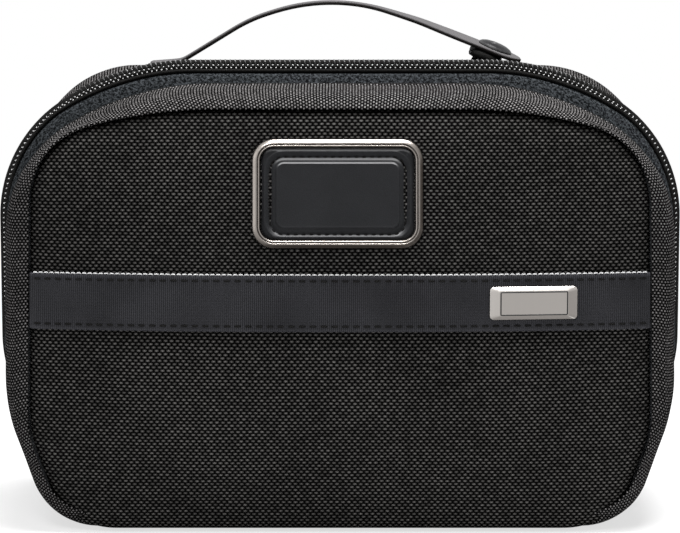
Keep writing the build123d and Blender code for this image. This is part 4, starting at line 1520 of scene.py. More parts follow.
@dataclass
class ZipSide:
    """One side of the zip: its tape, its coil, the cords beside it, rows of pale beads that paint the glints on the
    coil's turns, and its seams.

    Cords have a level inside the chain's line, a depth and a radius. Rows of beads have a level, a depth
    and the share of a pitch by which they start late. Steps of the tape have a share of the way
    from rim to chain, a depth and how far they are sunk.
    """

    half: Half
    wardrobe: Wardrobe
    pitch: float = 1.85
    wire: float = 0.38
    coil_rise: tuple[float, float] = (1.0, -0.45)
    coil_width: tuple[float, float] = (0.88, 1.66)
    cords: tuple = (("core", 0.45, 1.66, 1.22), ("edge", 1.75, 2.0, 1.35), ("foot", 3.2, 3.4, 0.75))
    # Rows of small pale beads that paint the glints on the coil's turns.
    glint_rows: tuple = (("glints_upper", 1.1, 3.1, 0.0), ("glints_lower", 2.1, 3.35, 0.5))
    tape_steps: tuple = (
        (0.08, 11.1, 1.1), (0.25, 10.2, 1.8), (0.5, 8.8, 1.9), (0.75, 7.4, 2.3), (0.92, 6.1, 3.3), (1.0, 4.9, 4.5),
        (1.0, 3.7, 4.3), (1.0, 2.9, 3.2),
    )

    @staticmethod
    def chain() -> np.ndarray:
        """Returns points of x and z along the chain, from its right-hand end over the top to the left."""
        outline = ring(CHAIN, Insets(0.0, 0.0, 0.0), FINE_COUNT)
        return evenly(outline[outline[:, 1] > ZIP_END + 0.4], 720)

    @staticmethod
    def spread(z: np.ndarray) -> np.ndarray:
        """Returns how wide the chain's edge shows at a height, 1 along the top and half down the sides."""
        return 0.5 + 0.5 * eased(np.clip((z - 148.0) / 20.0, 0.0, 1.0))

    @staticmethod
    def tucked(line: np.ndarray) -> np.ndarray:
        """Returns how far the tape is tucked in at each point, from 0 low down to 1 at the top."""
        return np.clip((line[:, 1] - 62.0) / 70.0, 0.0, 1.0)[:, None]

    @staticmethod
    def inside(line: np.ndarray) -> np.ndarray:
        """Returns unit vectors from an open line of the chain into the bag."""
        way = inward(line)
        way[0], way[-1] = way[1], way[-2]
        return way

    def beside(self, level: float, depth: float) -> np.ndarray:
        """Points of a line beside the chain, which comes closer to it down the sides.

        Args:
            level: how far inside the chain's line along the top.
            depth: how far from the parting plane.

        Returns:
            Array of x, y and z.
        """
        line = self.chain()
        line = line + self.inside(line) * (level * self.spread(line[:, 1]))[:, None]
        return np.array(self.half.row(line, depth))

    def build(self) -> bpy.types.Object:
        """Makes the side and returns its tape."""
        half = self.half
        coil = self.build_coil()
        self.wardrobe.dress(coil, Slot.COIL, half.body, (f"{half.name}_zip_coil",))
        rim = half.outline(half.rim, -0.05, 480)
        rim = rim[rim[:, 1] > ZIP_END + 1.5]
        first = int(np.argmax(rim[:, 0] * 2 - rim[:, 1]))
        spots = np.array(half.row(np.roll(rim, -first, 0), half.rim - 0.15))
        seam = tube(f"{half.name}_rim_seam", spots, 0.55)
        self.wardrobe.dress(seam, Slot.TAPE, half.body, material=self.wardrobe.thread)
        for cord in self.cords:
            self.wardrobe.dress(self.build_cord(*cord), Slot.COIL, half.body, material=self.wardrobe.thread)
        # Rows of pale beads: painted glints on the coil's turns.
        for glint_rows in self.glint_rows:
            row = self.build_row(*glint_rows)
            self.wardrobe.dress(row, Slot.COIL, half.body, material=self.wardrobe.painted_glint_thread)
        thread = self.build_thread()
        self.wardrobe.dress(thread, Slot.TAPE, half.body, material=self.wardrobe.thread)
        return self.build_tape()

    def build_tape(self) -> bpy.types.Object:
        """Makes the tape and returns it."""
        half = self.half
        low = half.outline(half.rim, 1.9, 480)
        high = ring(CHAIN, Insets(0.1, 0.1, 0.1), 480)
        rows = []
        for depth in (15.5, 13.0, 11.5):
            rows.append(half.row(low, depth))
        tuck = self.tucked(high)
        spread = (0.25 + 0.75 * self.spread(high[:, 1]))[:, None]
        for share, depth, sunk in self.tape_steps:
            flat = low + (high - low) * share
            flat = flat + inward(flat) * (sunk * spread * tuck - 0.3 * math.sin(math.pi * share) * (1 - tuck))
            rows.append(half.row(flat, depth))
        points = np.array(rows)
        tape = grid(f"{half.name}_zip_tape_cloth", points, wrap_columns=True,
                    keep=lambda r, c: min(points[r, c, 2], points[-1, c, 2]) > ZIP_END - 0.5, flip=half.side > 0)
        thicken(tape, 0.6)
        return self.wardrobe.dress(tape, Slot.TAPE, half.body, (f"{half.name}_zip_tape",))

    def build_coil(self) -> bpy.types.Object:
        """Makes the wound coil and returns it."""
        line = self.chain()
        out = -self.inside(line)
        along = run(line)
        windings = int(along[-1] / self.pitch)
        steps = 12
        (high, level), (wide, middle) = self.coil_rise, self.coil_width
        path = []
        for k in range(windings * steps):
            angle = 2 * math.pi * k / steps
            reach = along[-1] * k / (windings * steps)
            base = np.array([np.interp(reach, along, line[:, j]) for j in (0, 1)])
            way = np.array([np.interp(reach, along, out[:, j]) for j in (0, 1)])
            x, z = base + way * (level + high * math.sin(angle))
            path.append(self.half.place(x, middle + wide * math.cos(angle), z))
        return tube(f"{self.half.name}_zip_teeth", np.array(path), self.wire, 6)

    def build_cord(self, name: str, level: float, depth: float, radius: float) -> bpy.types.Object:
        """Makes one of the cords under and beside the coil.

        Args:
            name: what it is called.
            level: how far inside the chain's line its middle is.
            depth: how far from the parting plane.
            radius: its radius.

        Returns:
            The cord.
        """
        return tube(f"{self.half.name}_zip_{name}", self.beside(level, depth), radius, 12)

    def build_row(self, name: str, level: float, depth: float, shift: float) -> bpy.types.Object:
        """Makes a row of small pale beads beside the coil, which paint the glints on its turns.

        Args:
            name: what it is called.
            level: how far inside the chain's line.
            depth: how far from the parting plane.
            shift: share of a pitch that the row starts late.

        Returns:
            The row.
        """
        path = self.beside(level, depth)
        path = path[max(round(shift * self.pitch / 0.55), 0):]
        outward = np.array([(0.0, -self.half.side, 0.0)] * len(path))
        return stitches(f"{self.half.name}_zip_{name}", path, outward, self.pitch, 0.62, 0.27)

    def build_thread(self) -> bpy.types.Object:
        """Makes the row of thread beside the coil and returns it."""
        half = self.half
        line = self.chain()
        out = -self.inside(line)
        path = np.array(half.row(line + out * (0.1 - 3.3 * self.tucked(line)), 3.5))
        outward = np.array([(x, 0.0, z) for x, z in out])
        return stitches(f"{half.name}_zip_thread", path, outward, self.pitch, 1.4, 0.3)


@dataclass
class Band:
    """Coated band across the front panel, with its folded edges, two rows of stitches and a row of pale beads along
    its top fold that paint the fold's glints.

    A stitch has a pitch, a length and a radius.
    """

    cushion: Cushion
    wardrobe: Wardrobe
    middle: float = 85.5
    height: float = 20.4
    rise: float = 1.25
    end_share: float = 0.975
    stitch: tuple[float, float, float] = (3.8, 3.0, 0.34)
    # Sizes of the pale beads on the top fold, which paint its glints.
    edge_glint_size: tuple[float, float, float] = (2.0, 1.9, 0.3)

    def at(self, x: float, z: float, lift: float) -> np.ndarray:
        """Returns a point above the panel's plain crown."""
        out = self.cushion.slope(x, z)
        return np.array(FRONT.place(x, self.cushion.crown(x, z), z)) + out * lift

    def build(self) -> bpy.types.Object:
        """Makes the band and returns it."""
        low, high = self.middle - self.height / 2, self.middle + self.height / 2
        section = [(low + 1.4, 0.2), (low + 0.25, 0.25), (low, 0.7), (low + 0.35, 1.2), (low + 1.1, self.rise + 0.12)]
        inner = np.linspace(low + 1.8, high - 1.8, 13)
        section += [(z, self.rise + 0.05 * math.sin(z * 2.1)) for z in inner]
        section += [(high - 1.1, self.rise + 0.12), (high - 0.35, 1.2), (high, 0.7), (high - 0.25, 0.25)]
        section.append((high - 1.4, 0.2))
        rows = []
        for z, lift in section:
            edge = self.cushion.reach.edge_x(z) - 0.3
            xs = np.linspace(-edge, edge, 150)
            tucks = [0.9 * max(abs(x) / edge - self.end_share, 0) / (1 - self.end_share) for x in xs]
            rows.append([self.at(x, z, lift - tuck) for x, tuck in zip(xs, tucks)])
        band = grid("band_cloth", np.array(rows))
        self.wardrobe.dress(band, Slot.BAND, Body.FRONT, ("trim_band",))
        thread, painted_glint = self.wardrobe.thread, self.wardrobe.painted_glint_thread
        # The last row is pale beads along the top fold: painted glints of the fold.
        for name, z, above, lift, tip, sizes, material in (
            ("stitches_lower", low + 2.1, 0.0, self.rise, 0.0, self.stitch, thread),
            ("stitches_upper", high - 2.1, 0.0, self.rise, 0.0, self.stitch, thread),
            ("edge_glints", high, 0.1, 1.0, 1.0, self.edge_glint_size, painted_glint),
        ):
            edge = self.cushion.reach.edge_x(z) - 1.5
            xs = np.linspace(-edge, edge, 120)
            path = np.array([self.at(x, z + above, lift) for x in xs])
            out = np.array([self.cushion.slope(x, z) + UP * tip for x in xs])
            row = stitches(f"band_{name}", path, out, *sizes)
            self.wardrobe.dress(row, Slot.BAND, Body.FRONT, material=material)
        return band


class Plane:
    """Flat place on the front of the bag, with its own right, up and out directions."""

    def __init__(self, origin: Sequence[float], right: Sequence[float], out: Sequence[float]) -> None:
        """Keeps the place.

        Args:
            origin: its middle.
            right: its x direction.
            out: direction away from the bag.
        """
        self.origin = np.array(origin, float)
        self.right = unit(np.array(right, float))
        self.out = unit(np.array(out, float))
        self.up = np.cross(self.out, self.right)

    def at(self, x: float, y: float, height: float) -> np.ndarray:
        """Returns a point by its place on the plane and its height over it."""
        return self.origin + self.right * x + self.up * y + self.out * height


def rounded_distance(x: float, y: float, width: float, height: float, radius: float) -> float:
    """Distance from a rounded rectangle's edge, positive outside it.

    Args:
        x: place to the right of its middle.
        y: place above its middle.
        width: its width.
        height: its height.
        radius: its corner radius.

    Returns:
        The distance.
    """
    dx, dy = abs(x) - width / 2 + radius, abs(y) - height / 2 + radius
    return math.hypot(max(dx, 0.0), max(dy, 0.0)) + min(max(dx, dy), 0.0) - radius


def corner_arcs(width: float, height: float, radius: float, steps: int) -> list[list[tuple[float, float]]]:
    """Arcs round the corners of a rounded rectangle, from the lower right one on.

    Args:
        width: its width.
        height: its height.
        radius: its corner radius.
        steps: number of steps along each arc.

    Returns:
        Points of x and y for each corner.
    """
    arcs = []
    for sx, sy, start in ((1, -1, -90), (1, 1, 0), (-1, 1, 90), (-1, -1, 180)):
        x, y = sx * (width / 2 - radius), sy * (height / 2 - radius)
        angles = [math.radians(start + 90 * k / steps) for k in range(steps + 1)]
        arcs.append([(x + radius * math.cos(a), y + radius * math.sin(a)) for a in angles])
    return arcs


def rounded_path(width: float, height: float, radius: float, count: int) -> np.ndarray:
    """Points round a rounded rectangle.

    Args:
        width: its width.
        height: its height.
        radius: its corner radius.
        count: points wanted.

    Returns:
        Array of x and y, closed.
    """
    path = [spot for arc in corner_arcs(width, height, radius, 12) for spot in arc]
    return evenly(np.array(path + path[:1]), count)


def aligned_path(width: float, height: float, radius: float) -> list[tuple[float, float]]:
    """Points round a rounded rectangle, as many on each side and corner whatever its size.

    Args:
        width: its width.
        height: its height.
        radius: its corner radius.

    Returns:
        Points of x and y.
    """
    path = []
    arcs = corner_arcs(width, height, radius, 10)
    for arc, following in zip(arcs, arcs[1:] + arcs[:1]):
        (x, y), (next_x, next_y) = arc[-1], following[0]
        path += arc
        path += [(x + (next_x - x) * k / 12, y + (next_y - y) * k / 12) for k in range(1, 12)]
    return path


@dataclass
class Patch:
    """Leather piece in its metal frame, with a pressed field and a sewn channel round it.

    Reach is how far the front panel's outline lies over its middle. The field, the sewn line and
    the frame have a width, a height and a corner radius. The frame's section has an inset and a
    height for each point.
    """

    cushion: Cushion
    wardrobe: Wardrobe
    height: float = 125.2
    width: float = 54.4
    tall: float = 32.4
    corner: float = 4.5
    field: tuple[float, float, float] = (44.0, 23.4, 3.0)
    sewn_line: tuple[float, float, float] = (48.2, 27.6, 4.4)
    frame_size: tuple[float, float, float] = (61.0, 39.0, 7.8)
    drop: float = 0.6
    reach: float = 72.0
    shift: tuple[float, float] = (-0.8, -0.8)
    frame_section: tuple[tuple[float, float], ...] = (
        (0.0, 0.2), (0.0, 1.5), (0.08, 1.8), (0.35, 2.2), (0.9, 2.65), (1.45, 2.92), (1.7, 2.98), (1.82, 2.9),
        (1.86, 2.1), (2.2, 2.1), (2.24, 2.75), (2.36, 2.86), (2.6, 2.86), (2.74, 2.74), (3.1, 1.8), (3.2, 0.2),
    )

    def plane(self) -> Plane:
        """Returns the plane that the patch lies on."""
        share = (self.height - CENTRE[1]) / self.reach
        tilt = FRONT.crown_tilt(share, self.reach)
        out = np.array((0.0, -math.cos(tilt), math.sin(tilt)))
        shift_x, shift_z = self.shift
        origin = np.array((shift_x, -FRONT.crowned(share), self.height + shift_z)) - out
        return Plane(origin, (1, 0, 0), out)

    def relief(self, x: float, y: float) -> float:
        """Returns the leather's height over the plane."""
        edge = rounded_distance(x, y, self.width, self.tall, self.corner)
        field = rounded_distance(x, y + self.drop, *self.field)

        def bead(place: float, width: float) -> float:
            """Returns 1 in the middle of a soft ridge round the field, and 0 well away from it."""
            return math.exp(-(((field - place) / width) ** 2))

        rolled_edge = 0.7 * clamp((edge + 1.2) / 1.2) ** 2
        raised_field = 0.6 / (1 + math.exp(min(max((field + 0.1) / 0.09, -40), 40)))
        ridges = 0.1 * bead(-0.4, 0.25) + 0.22 * bead(3.9, 0.4)
        return 1.5 - rolled_edge - 0.75 * bead(2.0, 0.8) + raised_field + ridges

    def build(self) -> bpy.types.Object:
        """Makes the leather piece and returns it."""
        plane = self.plane()
        rows = []
        for v in np.linspace(-1, 1, 121):
            row = []
            for u in np.linspace(-1, 1, 181):
                x, y = u * self.width / 2, v * self.tall / 2
                straight_x, straight_y = self.width / 2 - self.corner, self.tall / 2 - self.corner
                corner_x, corner_y = abs(x) - straight_x, abs(y) - straight_y
                if corner_x > 0 and corner_y > 0:
                    pull = max(corner_x, corner_y) / math.hypot(corner_x, corner_y)
                    x = math.copysign(straight_x + corner_x * pull, x)
                    y = math.copysign(straight_y + corner_y * pull, y)
                row.append(plane.at(x, y, self.relief(x, y)))
            rows.append(row)
        leather = grid("patch_leather_piece", np.array(rows))
        # The leather carries a painted highlight on the ridges that face up.
        self.wardrobe.dress(leather, Slot.PATCH, Body.FRONT, ("patch_leather",))
        flat = rounded_path(*self.sewn_line, 400)
        path = np.array([plane.at(x, y - self.drop, 0.8) for x, y in flat])
        out = np.array([plane.out] * len(path))
        row = stitches("patch_stitches", path, out, 2.75, 1.9, 0.3)
        self.wardrobe.dress(row, Slot.PATCH, Body.FRONT, material=self.wardrobe.thread)
        LOG.info("%s built", self.build_frame(plane).name)
        self.wardrobe.keep("patch_backing", self.wardrobe.material(Slot.STEEL))
        return leather

    def build_frame(self, plane: Plane) -> bpy.types.Object:
        """Makes the metal frame: a broad outer bevel, a groove and a narrow inner lip.

        Args:
            plane: what it lies on.

        Returns:
            The frame.
        """
        rows = []
        width, tall, radius = self.frame_size
        for inset, height in self.frame_section:
            flat = aligned_path(width - 2 * inset, tall - 2 * inset, radius - inset)
            rows.append([plane.at(x, y, height) for x, y in flat])
        frame_piece = grid("metal_frame", np.array(rows), wrap_rows=True, wrap_columns=True)
        # The frame's bronze carries painted light and shade by which way each face turns.
        return self.wardrobe.dress(frame_piece, Slot.DARK_METAL, Body.FRONT, ("patch_frame",), self.wardrobe.bronze)


@dataclass
class BarePlate:
    """Bare metal plate on the band, with a thin black line laid round its field.

    Reach is how far the front panel's outline lies beside its middle. Rings have a width, a
    height, a corner radius and a level.
    """

    cushion: Cushion
    wardrobe: Wardrobe
    x: float = 69.0
    z: float = 85.5
    reach: float = 111.0
    band: float = 1.2
    face: float = 2.0
    black_line: tuple[float, float, float] = (24.0, 8.2, 0.25)
    rings: tuple[tuple[float, float, float, float], ...] = (
        (31.6, 11.9, 1.5, 0.0), (31.6, 11.9, 1.5, 0.8), (31.45, 11.75, 1.45, 1.0), (31.1, 11.4, 1.3, 1.1),
        (25.2, 9.2, 0.6, 1.94), (24.9, 8.95, 0.5, 2.0), (24.5, 8.6, 0.45, 2.0), (12.0, 4.0, 0.2, 2.0),
        (0.4, 0.2, 0.05, 2.0),
    )

    def build(self) -> bpy.types.Object:
        """Makes the plate and its black line and returns the line."""
        share = self.x / self.reach
        tilt = FRONT.crown_tilt(share, self.reach)
        right = np.array((math.cos(tilt), math.sin(tilt), 0.0))
        out = np.array((math.sin(tilt), -math.cos(tilt), 0.0))
        origin = np.array((self.x, -FRONT.crowned(share) - self.band, self.z)) - out * 0.4
        plane = Plane(origin, right, out)
        rows = [[plane.at(x, y, height) for x, y in aligned_path(width, tall, radius)]
                for width, tall, radius, height in self.rings]
        plate = grid("plate_metal", np.array(rows), wrap_columns=True)
        cap_ends(plate, len(rows), len(rows[0]))
        # The plate's metal carries painted light and shade by which way each face turns.
        self.wardrobe.dress(plate, Slot.PALE_METAL, Body.FRONT, ("name_plate",))
        flat = rounded_path(*self.black_line, 160)
        path = np.array([plane.at(x, y, self.face) for x, y in flat[:-1]])
        line = tube("plate_line", path, 0.24, 6, closed=True, flat=0.4, up=plane.out)
        self.wardrobe.dress(line, Slot.ENAMEL, Body.FRONT, material=self.wardrobe.black_line)
        self.wardrobe.keep("plate_backing", self.wardrobe.material(Slot.STEEL))
        return line


@dataclass
class Handle:
    """Strap that is sewn down at its left end and held by a press stud at its right end.

    The section has shares of half the width and half the thickness for each point, and the cap's
    rings have a radius and a height.
    """

    wardrobe: Wardrobe
    y: float = 21.0
    width: float = 16.0
    thickness: float = 1.7
    cap_x: float = 59.0
    foot: tuple[float, float] = (-60.5, 168.8)
    section: tuple = (
        (-1, 0), (-0.985, 0.5), (-0.94, 0.88), (-0.86, 1.0), (-0.72, 0.97), (-0.4, 1.04), (0, 1.06), (0.4, 1.04),
        (0.72, 0.97), (0.86, 1.0), (0.94, 0.88), (0.985, 0.5), (1, 0), (0.985, -0.5), (0.94, -0.88), (0.86, -1),
        (0.4, -1), (-0.4, -1), (-0.86, -1), (-0.94, -0.88), (-0.985, -0.5),
    )
    cap_rings: tuple = (
        (6.3, 0.7), (6.6, 0.9), (6.7, 1.2), (6.5, 1.7), (5.8, 2.2), (4.4, 2.7), (2.6, 3.0), (0.1, 3.1),
    )

    @staticmethod
    def roll(x: float) -> float:
        """Returns how far the strap leans to the front, in radians, as it nears its press stud."""
        return math.radians(6.5) * eased(clamp((x - 5.0) / 45.0))

    def route(self) -> np.ndarray:
        """Returns the middle line of the strap in x and z, from the sewn end to the free end."""
        stops = [np.array(p) for p in (self.foot, (-34.0, 184.9), (-3.0, 194.4), (30.0, 184.1), (69.2, 168.8))]
        path = [np.array((-72.0, 167.9)), np.array((-66.0, 168.35)), stops[0]]
        for before, corner, after, radius in zip(stops, stops[1:], stops[2:], (60.0, 72.0, 80.0)):
            path += fillet(before, corner, after, radius, 14, 1.0)
        path.append(stops[-1])
        line = evenly(np.array(path), 220)
        for _ in range(12):
            line[1:-1] = (line[:-2] + 2 * line[1:-1] + line[2:]) / 4
        return line

    def half_width(self, along: float, total: float) -> float:
        """Returns half the strap's width, rounded off at its free end."""
        left = total - along
        full = self.width / 2
        return full if left > full else math.sqrt(max(full**2 - (full - left) ** 2, 0.04))

    def build(self) -> bpy.types.Object:
        """Makes the strap and returns it."""
        line = self.route()
        along = run(line)
        way = unit(np.gradient(line, axis=0))
        t = self.thickness / 2
        rows = []
        for (x, z), (wx, wz), distance in zip(line, way, along):
            half = self.half_width(distance, along[-1])
            lean = self.roll(x)
            up = np.array((-wz * math.cos(lean), -math.sin(lean), wx * math.cos(lean)))
            beside = np.cross(up, np.array((wx, 0.0, wz)))
            middle = np.array((x, self.y, z))
            section = []
            share = half / (self.width / 2)
            thin = 1.0 if share > 0.5 else 0.55 + 0.9 * share
            for side, level in self.section:
                section.append(middle + beside * side * half + up * t * level * thin)
            rows.append(section)
        strap = grid("strap", np.array(rows), wrap_columns=True, flip=True)
        cap_ends(strap, len(rows), len(rows[0]))
        # The strap's leather carries a painted highlight along its top face.
        self.wardrobe.dress(strap, Slot.STRAP, None, ("handle_strap", "handle_tail"))
        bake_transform(strap)
        LOG.info("%s built", self.build_cap(line, way).name)
        return strap

    def build_cap(self, line: np.ndarray, way: np.ndarray) -> bpy.types.Object:
        """Makes the flat dome of the press stud and returns it.

        Args:
            line: middle line of the strap in x and z.
            way: its direction at each point.

        Returns:
            The cap.
        """
        spot = int(np.argmin(abs(line[:, 0] - self.cap_x)))
        (x, z), (wx, wz), lean = line[spot], way[spot], self.roll(line[spot, 0])
        up = (-wz * math.cos(lean), -math.sin(lean), wx * math.cos(lean))
        plane = Plane((x, self.y, z), (wx, 0.0, wz), up)
        rows = []
        for radius, height in self.cap_rings:
            rows.append([plane.at(radius * math.cos(a), radius * math.sin(a), height) for a in turns(48)])
        cap = grid("stud_cap", np.array(rows), wrap_columns=True)
        cap_ends(cap, len(rows), 48)
        return self.wardrobe.dress(cap, Slot.ENAMEL, Body.HANDLE, ("snap_cap",))


@dataclass
class Seat:
    """What the handle is fixed to: the sheet under its sewn end and the mound under its press stud.

    Ends are the left and right ends of the sheets. The strap falls by strap_fall over strap_run
    from its peak to the stud.
    """

    wardrobe: Wardrobe
    foot_ends: tuple[float, float] = (-73.8, -52.6)
    stud_ends: tuple[float, float] = (40.2, 63.8)
    strap_fall: float = 16.5
    strap_run: float = 40.5
    rolls: tuple = (("collar", 6.4, -1.95, 0.95), ("collar_foot", 7.4, -3.9, 1.5))

    def sheet(self, name: str, low: float, high: float, near: float, far: float, offset: float) -> bpy.types.Object:
        """Makes a small sheet that follows the back gusset's top.

        Args:
            name: name of the object.
            low: its left end.
            high: its right end.
            near: its front edge.
            far: its back edge.
            offset: how far under the gusset's skin its face is.

        Returns:
            The sheet.
        """
        rows = []
        for depth in np.linspace(near, far, 14):
            outline = BACK.outline(depth, offset, FINE_COUNT)
            outline = outline[outline[:, 1] > 140]
            outline = outline[np.argsort(outline[:, 0])]
            xs = np.linspace(low, high, 24)
            zs = np.interp(xs, outline[:, 0], outline[:, 1])
            rows.append(BACK.row(zip(xs, zs), depth))
        return grid(name, np.array(rows))

    def build(self) -> bpy.types.Object:
        """Makes the pieces and returns the anchor sheet."""
        anchor = self.sheet("anchor_sheet", *self.foot_ends, 11.2, 30.8, -0.75)
        thicken(anchor, 0.7)
        self.wardrobe.dress(anchor, Slot.CLOTH, Body.BACK, ("handle_anchor",))
        for name, node, ends in (
            ("anchor_backing_sheet", "anchor_backing", self.foot_ends),
            ("stud_backing_sheet", "snap_backing", self.stud_ends),
        ):
            piece = self.sheet(name, *ends, 16.3, 30.8, 1.75)
            thicken(piece, 0.5)
            self.wardrobe.dress(piece, Slot.BINDING, Body.BACK, (node,))
        self.build_mound()
        return anchor

    def build_mound(self) -> bpy.types.Object:
        """Makes the drawn-up cloth under the press stud and returns it."""
        low, high = (np.array(end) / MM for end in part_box("snap_riser"))
        fall = math.atan2(self.strap_fall, self.strap_run)
        stud = np.array((56.0, 21.0, 184.9 - 26.0 * math.tan(fall)))
        out = np.array((math.sin(fall), 0.0, math.cos(fall)))
        flange = stud + np.array((2.6, 0.0, -0.8)) - out * 3.45
        foot = np.array(((low[0] + high[0]) / 2 + 5.0, stud[1], low[2]))
        rows = []
        for share in np.linspace(0.0, 1.0, 11):
            middle = foot + (flange - foot) * share
            tilt = unit(out * share + UP * (1 - share))
            beside = np.cross(BACKWARD, tilt)
            radius = 9.6 - 3.2 * math.sin(share * math.pi / 2) - 0.5 * max(share - 0.85, 0) / 0.15
            row = []
            for angle in turns(48):
                pleat = 1 + 0.025 * math.cos(angle * 7) * math.sin(math.pi * share)
                row.append(middle + (beside * math.cos(angle) + BACKWARD * math.sin(angle)) * radius * pleat)
            rows.append(row)
        mound = grid("stud_mound", np.array(rows), wrap_columns=True, flip=True)
        cap_ends(mound, 11, 48)
        right = np.array((out[2], 0.0, -out[0]))
        for name, reach, level, radius in self.rolls:
            centre = stud + out * level
            round_front = np.radians(np.linspace(-125, 125, 60))
            path = np.array([centre + (right * math.cos(a) + BACKWARD * math.sin(a)) * reach for a in round_front])
            roll = tube(f"stud_{name}", path, radius, 10)
            self.wardrobe.dress(roll, Slot.CLOTH, Body.BACK, material=self.wardrobe.thread)
        return self.wardrobe.dress(mound, Slot.CLOTH, Body.BACK, ("snap_riser",))


@dataclass
class NetPocket:
    """Net pocket in the back half, with its elastic hem."""

    wardrobe: Wardrobe
    top: float = 90.0
    cell: float = 4.2
    most_reach: float = 0.975
    hem_rise: float = 4.0
    hem_half: tuple[float, float] = (0.75, 3.9)
    thread_area: float = 0.0074

    def build(self) -> bpy.types.Object:
        """Makes the net and its hem and returns the net."""
        low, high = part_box("pocket_net")
        y = (low[1] + high[1]) / 2 / MM
        reach = Reach(BACK.outline(abs(y), 3.4, 720))
        verts, index, faces = [], {}, []

        def corner(i: int, j: int) -> int:
            """Returns the index of a knot of the net, made where it is first asked for."""
            if (i, j) not in index:
                index[(i, j)] = len(verts)
                verts.append((i * self.cell / 2, y, self.top - j * self.cell / 2))
            return index[(i, j)]

        for j in range(1, 44):
            for i in range(-60, 61):
                if (i + j) % 2:
                    continue
                x, z = i * self.cell / 2, self.top - j * self.cell / 2
                if reach.share(x, z) > self.most_reach or z < 6:
                    continue
                faces.append((corner(i - 1, j), corner(i, j + 1), corner(i + 1, j), corner(i, j - 1)))
        net = new_object("net_mesh", np.array(verts), faces)
        wire = net.modifiers.new("threads", "WIREFRAME")
        wire.thickness = 0.5 * MM
        wire.use_even_offset = False
        wire.use_boundary = True
        self.wardrobe.dress(net, Slot.NET, Body.BACK, ("pocket_net",))
        middle = self.top + self.hem_rise
        edge = reach.edge_x(middle) - 0.2
        rows = []
        for angle in turns(12):
            row = []
            for x in np.linspace(-edge, edge, 260):
                gather = 0.18 * math.sin(x * 2.4) + 0.3 * wander((x, 0, 0), 9.0, 2.0)
                thick, tall = self.hem_half[0] + gather * 0.4, self.hem_half[1] + gather
                row.append((x, y + thick * math.cos(angle), middle + tall * math.sin(angle)))
            rows.append(row)
        hem = grid("net_hem", np.array(rows), wrap_rows=True)
        self.wardrobe.dress(hem, Slot.ELASTIC, Body.BACK, ("pocket_hem",))
        return net


@dataclass
class Trim:
    """Bindings inside the seams, the fold in the base, the zip's end tabs and the small metal parts."""

    wardrobe: Wardrobe
    fold_half: float = 93.8
    tab_depths: tuple[float, float] = (0.5, 7.3)
    tab_heights: tuple[float, float] = (13.0, 21.8)

    def build(self) -> bpy.types.Object:
        """Makes the pieces and returns the fold cord."""
        for half in (FRONT, BACK):
            outline = half.outline(half.seam, 1.95, 300)
            path = np.array(half.row(outline, half.seam - 3.0))
            roll = tube(f"{half.name}_binding_roll", path, 0.75, 8, closed=True)
            self.wardrobe.dress(roll, Slot.BINDING, half.body, (f"{half.name}_seam_binding",))
        line = np.array([(x, 0.0, 1.0) for x in np.linspace(-self.fold_half, self.fold_half, 90)])
        fold = tube("fold_cord", line, 0.68, 10)
        self.wardrobe.dress(fold, Slot.BINDING, Body.BACK, ("base_fold",))
        for side, name in ((-1, "left"), (1, "right")):
            self.end_tab(side, name)
        for node in ("snap_socket", "snap_stud"):
            self.wardrobe.keep(node, self.wardrobe.oxide)
        for node in ("zip_slider", "pull_link", "pull_tab"):
            self.wardrobe.keep(node, self.wardrobe.material(Slot.DARK_METAL))
        return fold

    def end_tab(self, side: int, name: str) -> bpy.types.Object:
        """Makes the tab over one end of the zip.

        Args:
            side: 1 on the right and -1 on the left.
            name: start of its name.

        Returns:
            The tab.
        """
        rows = []
        for depth in np.linspace(*self.tab_depths, 9):
            outline = BACK.outline(depth, -0.75, FINE_COUNT)
            outline = outline[(outline[:, 0] * side > 90) & (outline[:, 1] < 60)]
            outline = outline[np.argsort(outline[:, 1])]
            zs = np.linspace(*self.tab_heights, 12)
            xs = np.interp(zs, outline[:, 1], outline[:, 0])
            rows.append(BACK.row(zip(xs, zs), depth))
        tab = grid(f"{name}_end_tab", np.array(rows), flip=side > 0)
        thicken(tab, 0.7)
        return self.wardrobe.dress(tab, Slot.BINDING, Body.BACK, (f"{name}_zip_end_tab",))


# ---- studio ----


Place = tuple[float, float, float]
WHITE = (1.0, 1.0, 1.0, 1.0)


@dataclass(frozen=True)
class Lamp:
    """Soft square lamp, in metres and watts."""

    name: str
    place: Place
    aim: Place
    size: float
    power: float

    def build(self) -> None:
        """Makes the lamp."""
        data = bpy.data.lights.new(self.name, "AREA")
        data.shape = "SQUARE"
        data.size = self.size
        data.energy = self.power
        made = bpy.data.objects.new(self.name, data)
        bpy.context.scene.collection.objects.link(made)
        made.location = self.place
        made.rotation_euler = (Vector(self.aim) - Vector(self.place)).to_track_quat("-Z", "Y").to_euler()


LAMPS = (
    Lamp("key", (-0.25, -0.75, 1.05), (0.0, 0.0, 0.09), 0.4, 7.0),
    Lamp("top", (0.12, -0.05, 1.05), (0.0, 0.0, 0.12), 0.5, 24.0),
    Lamp("left", (-1.0, -0.35, 0.35), (0.0, 0.0, 0.09), 0.7, 0.9),
    Lamp("right", (1.0, -0.35, 0.35), (0.0, 0.0, 0.09), 0.7, 0.7),
)


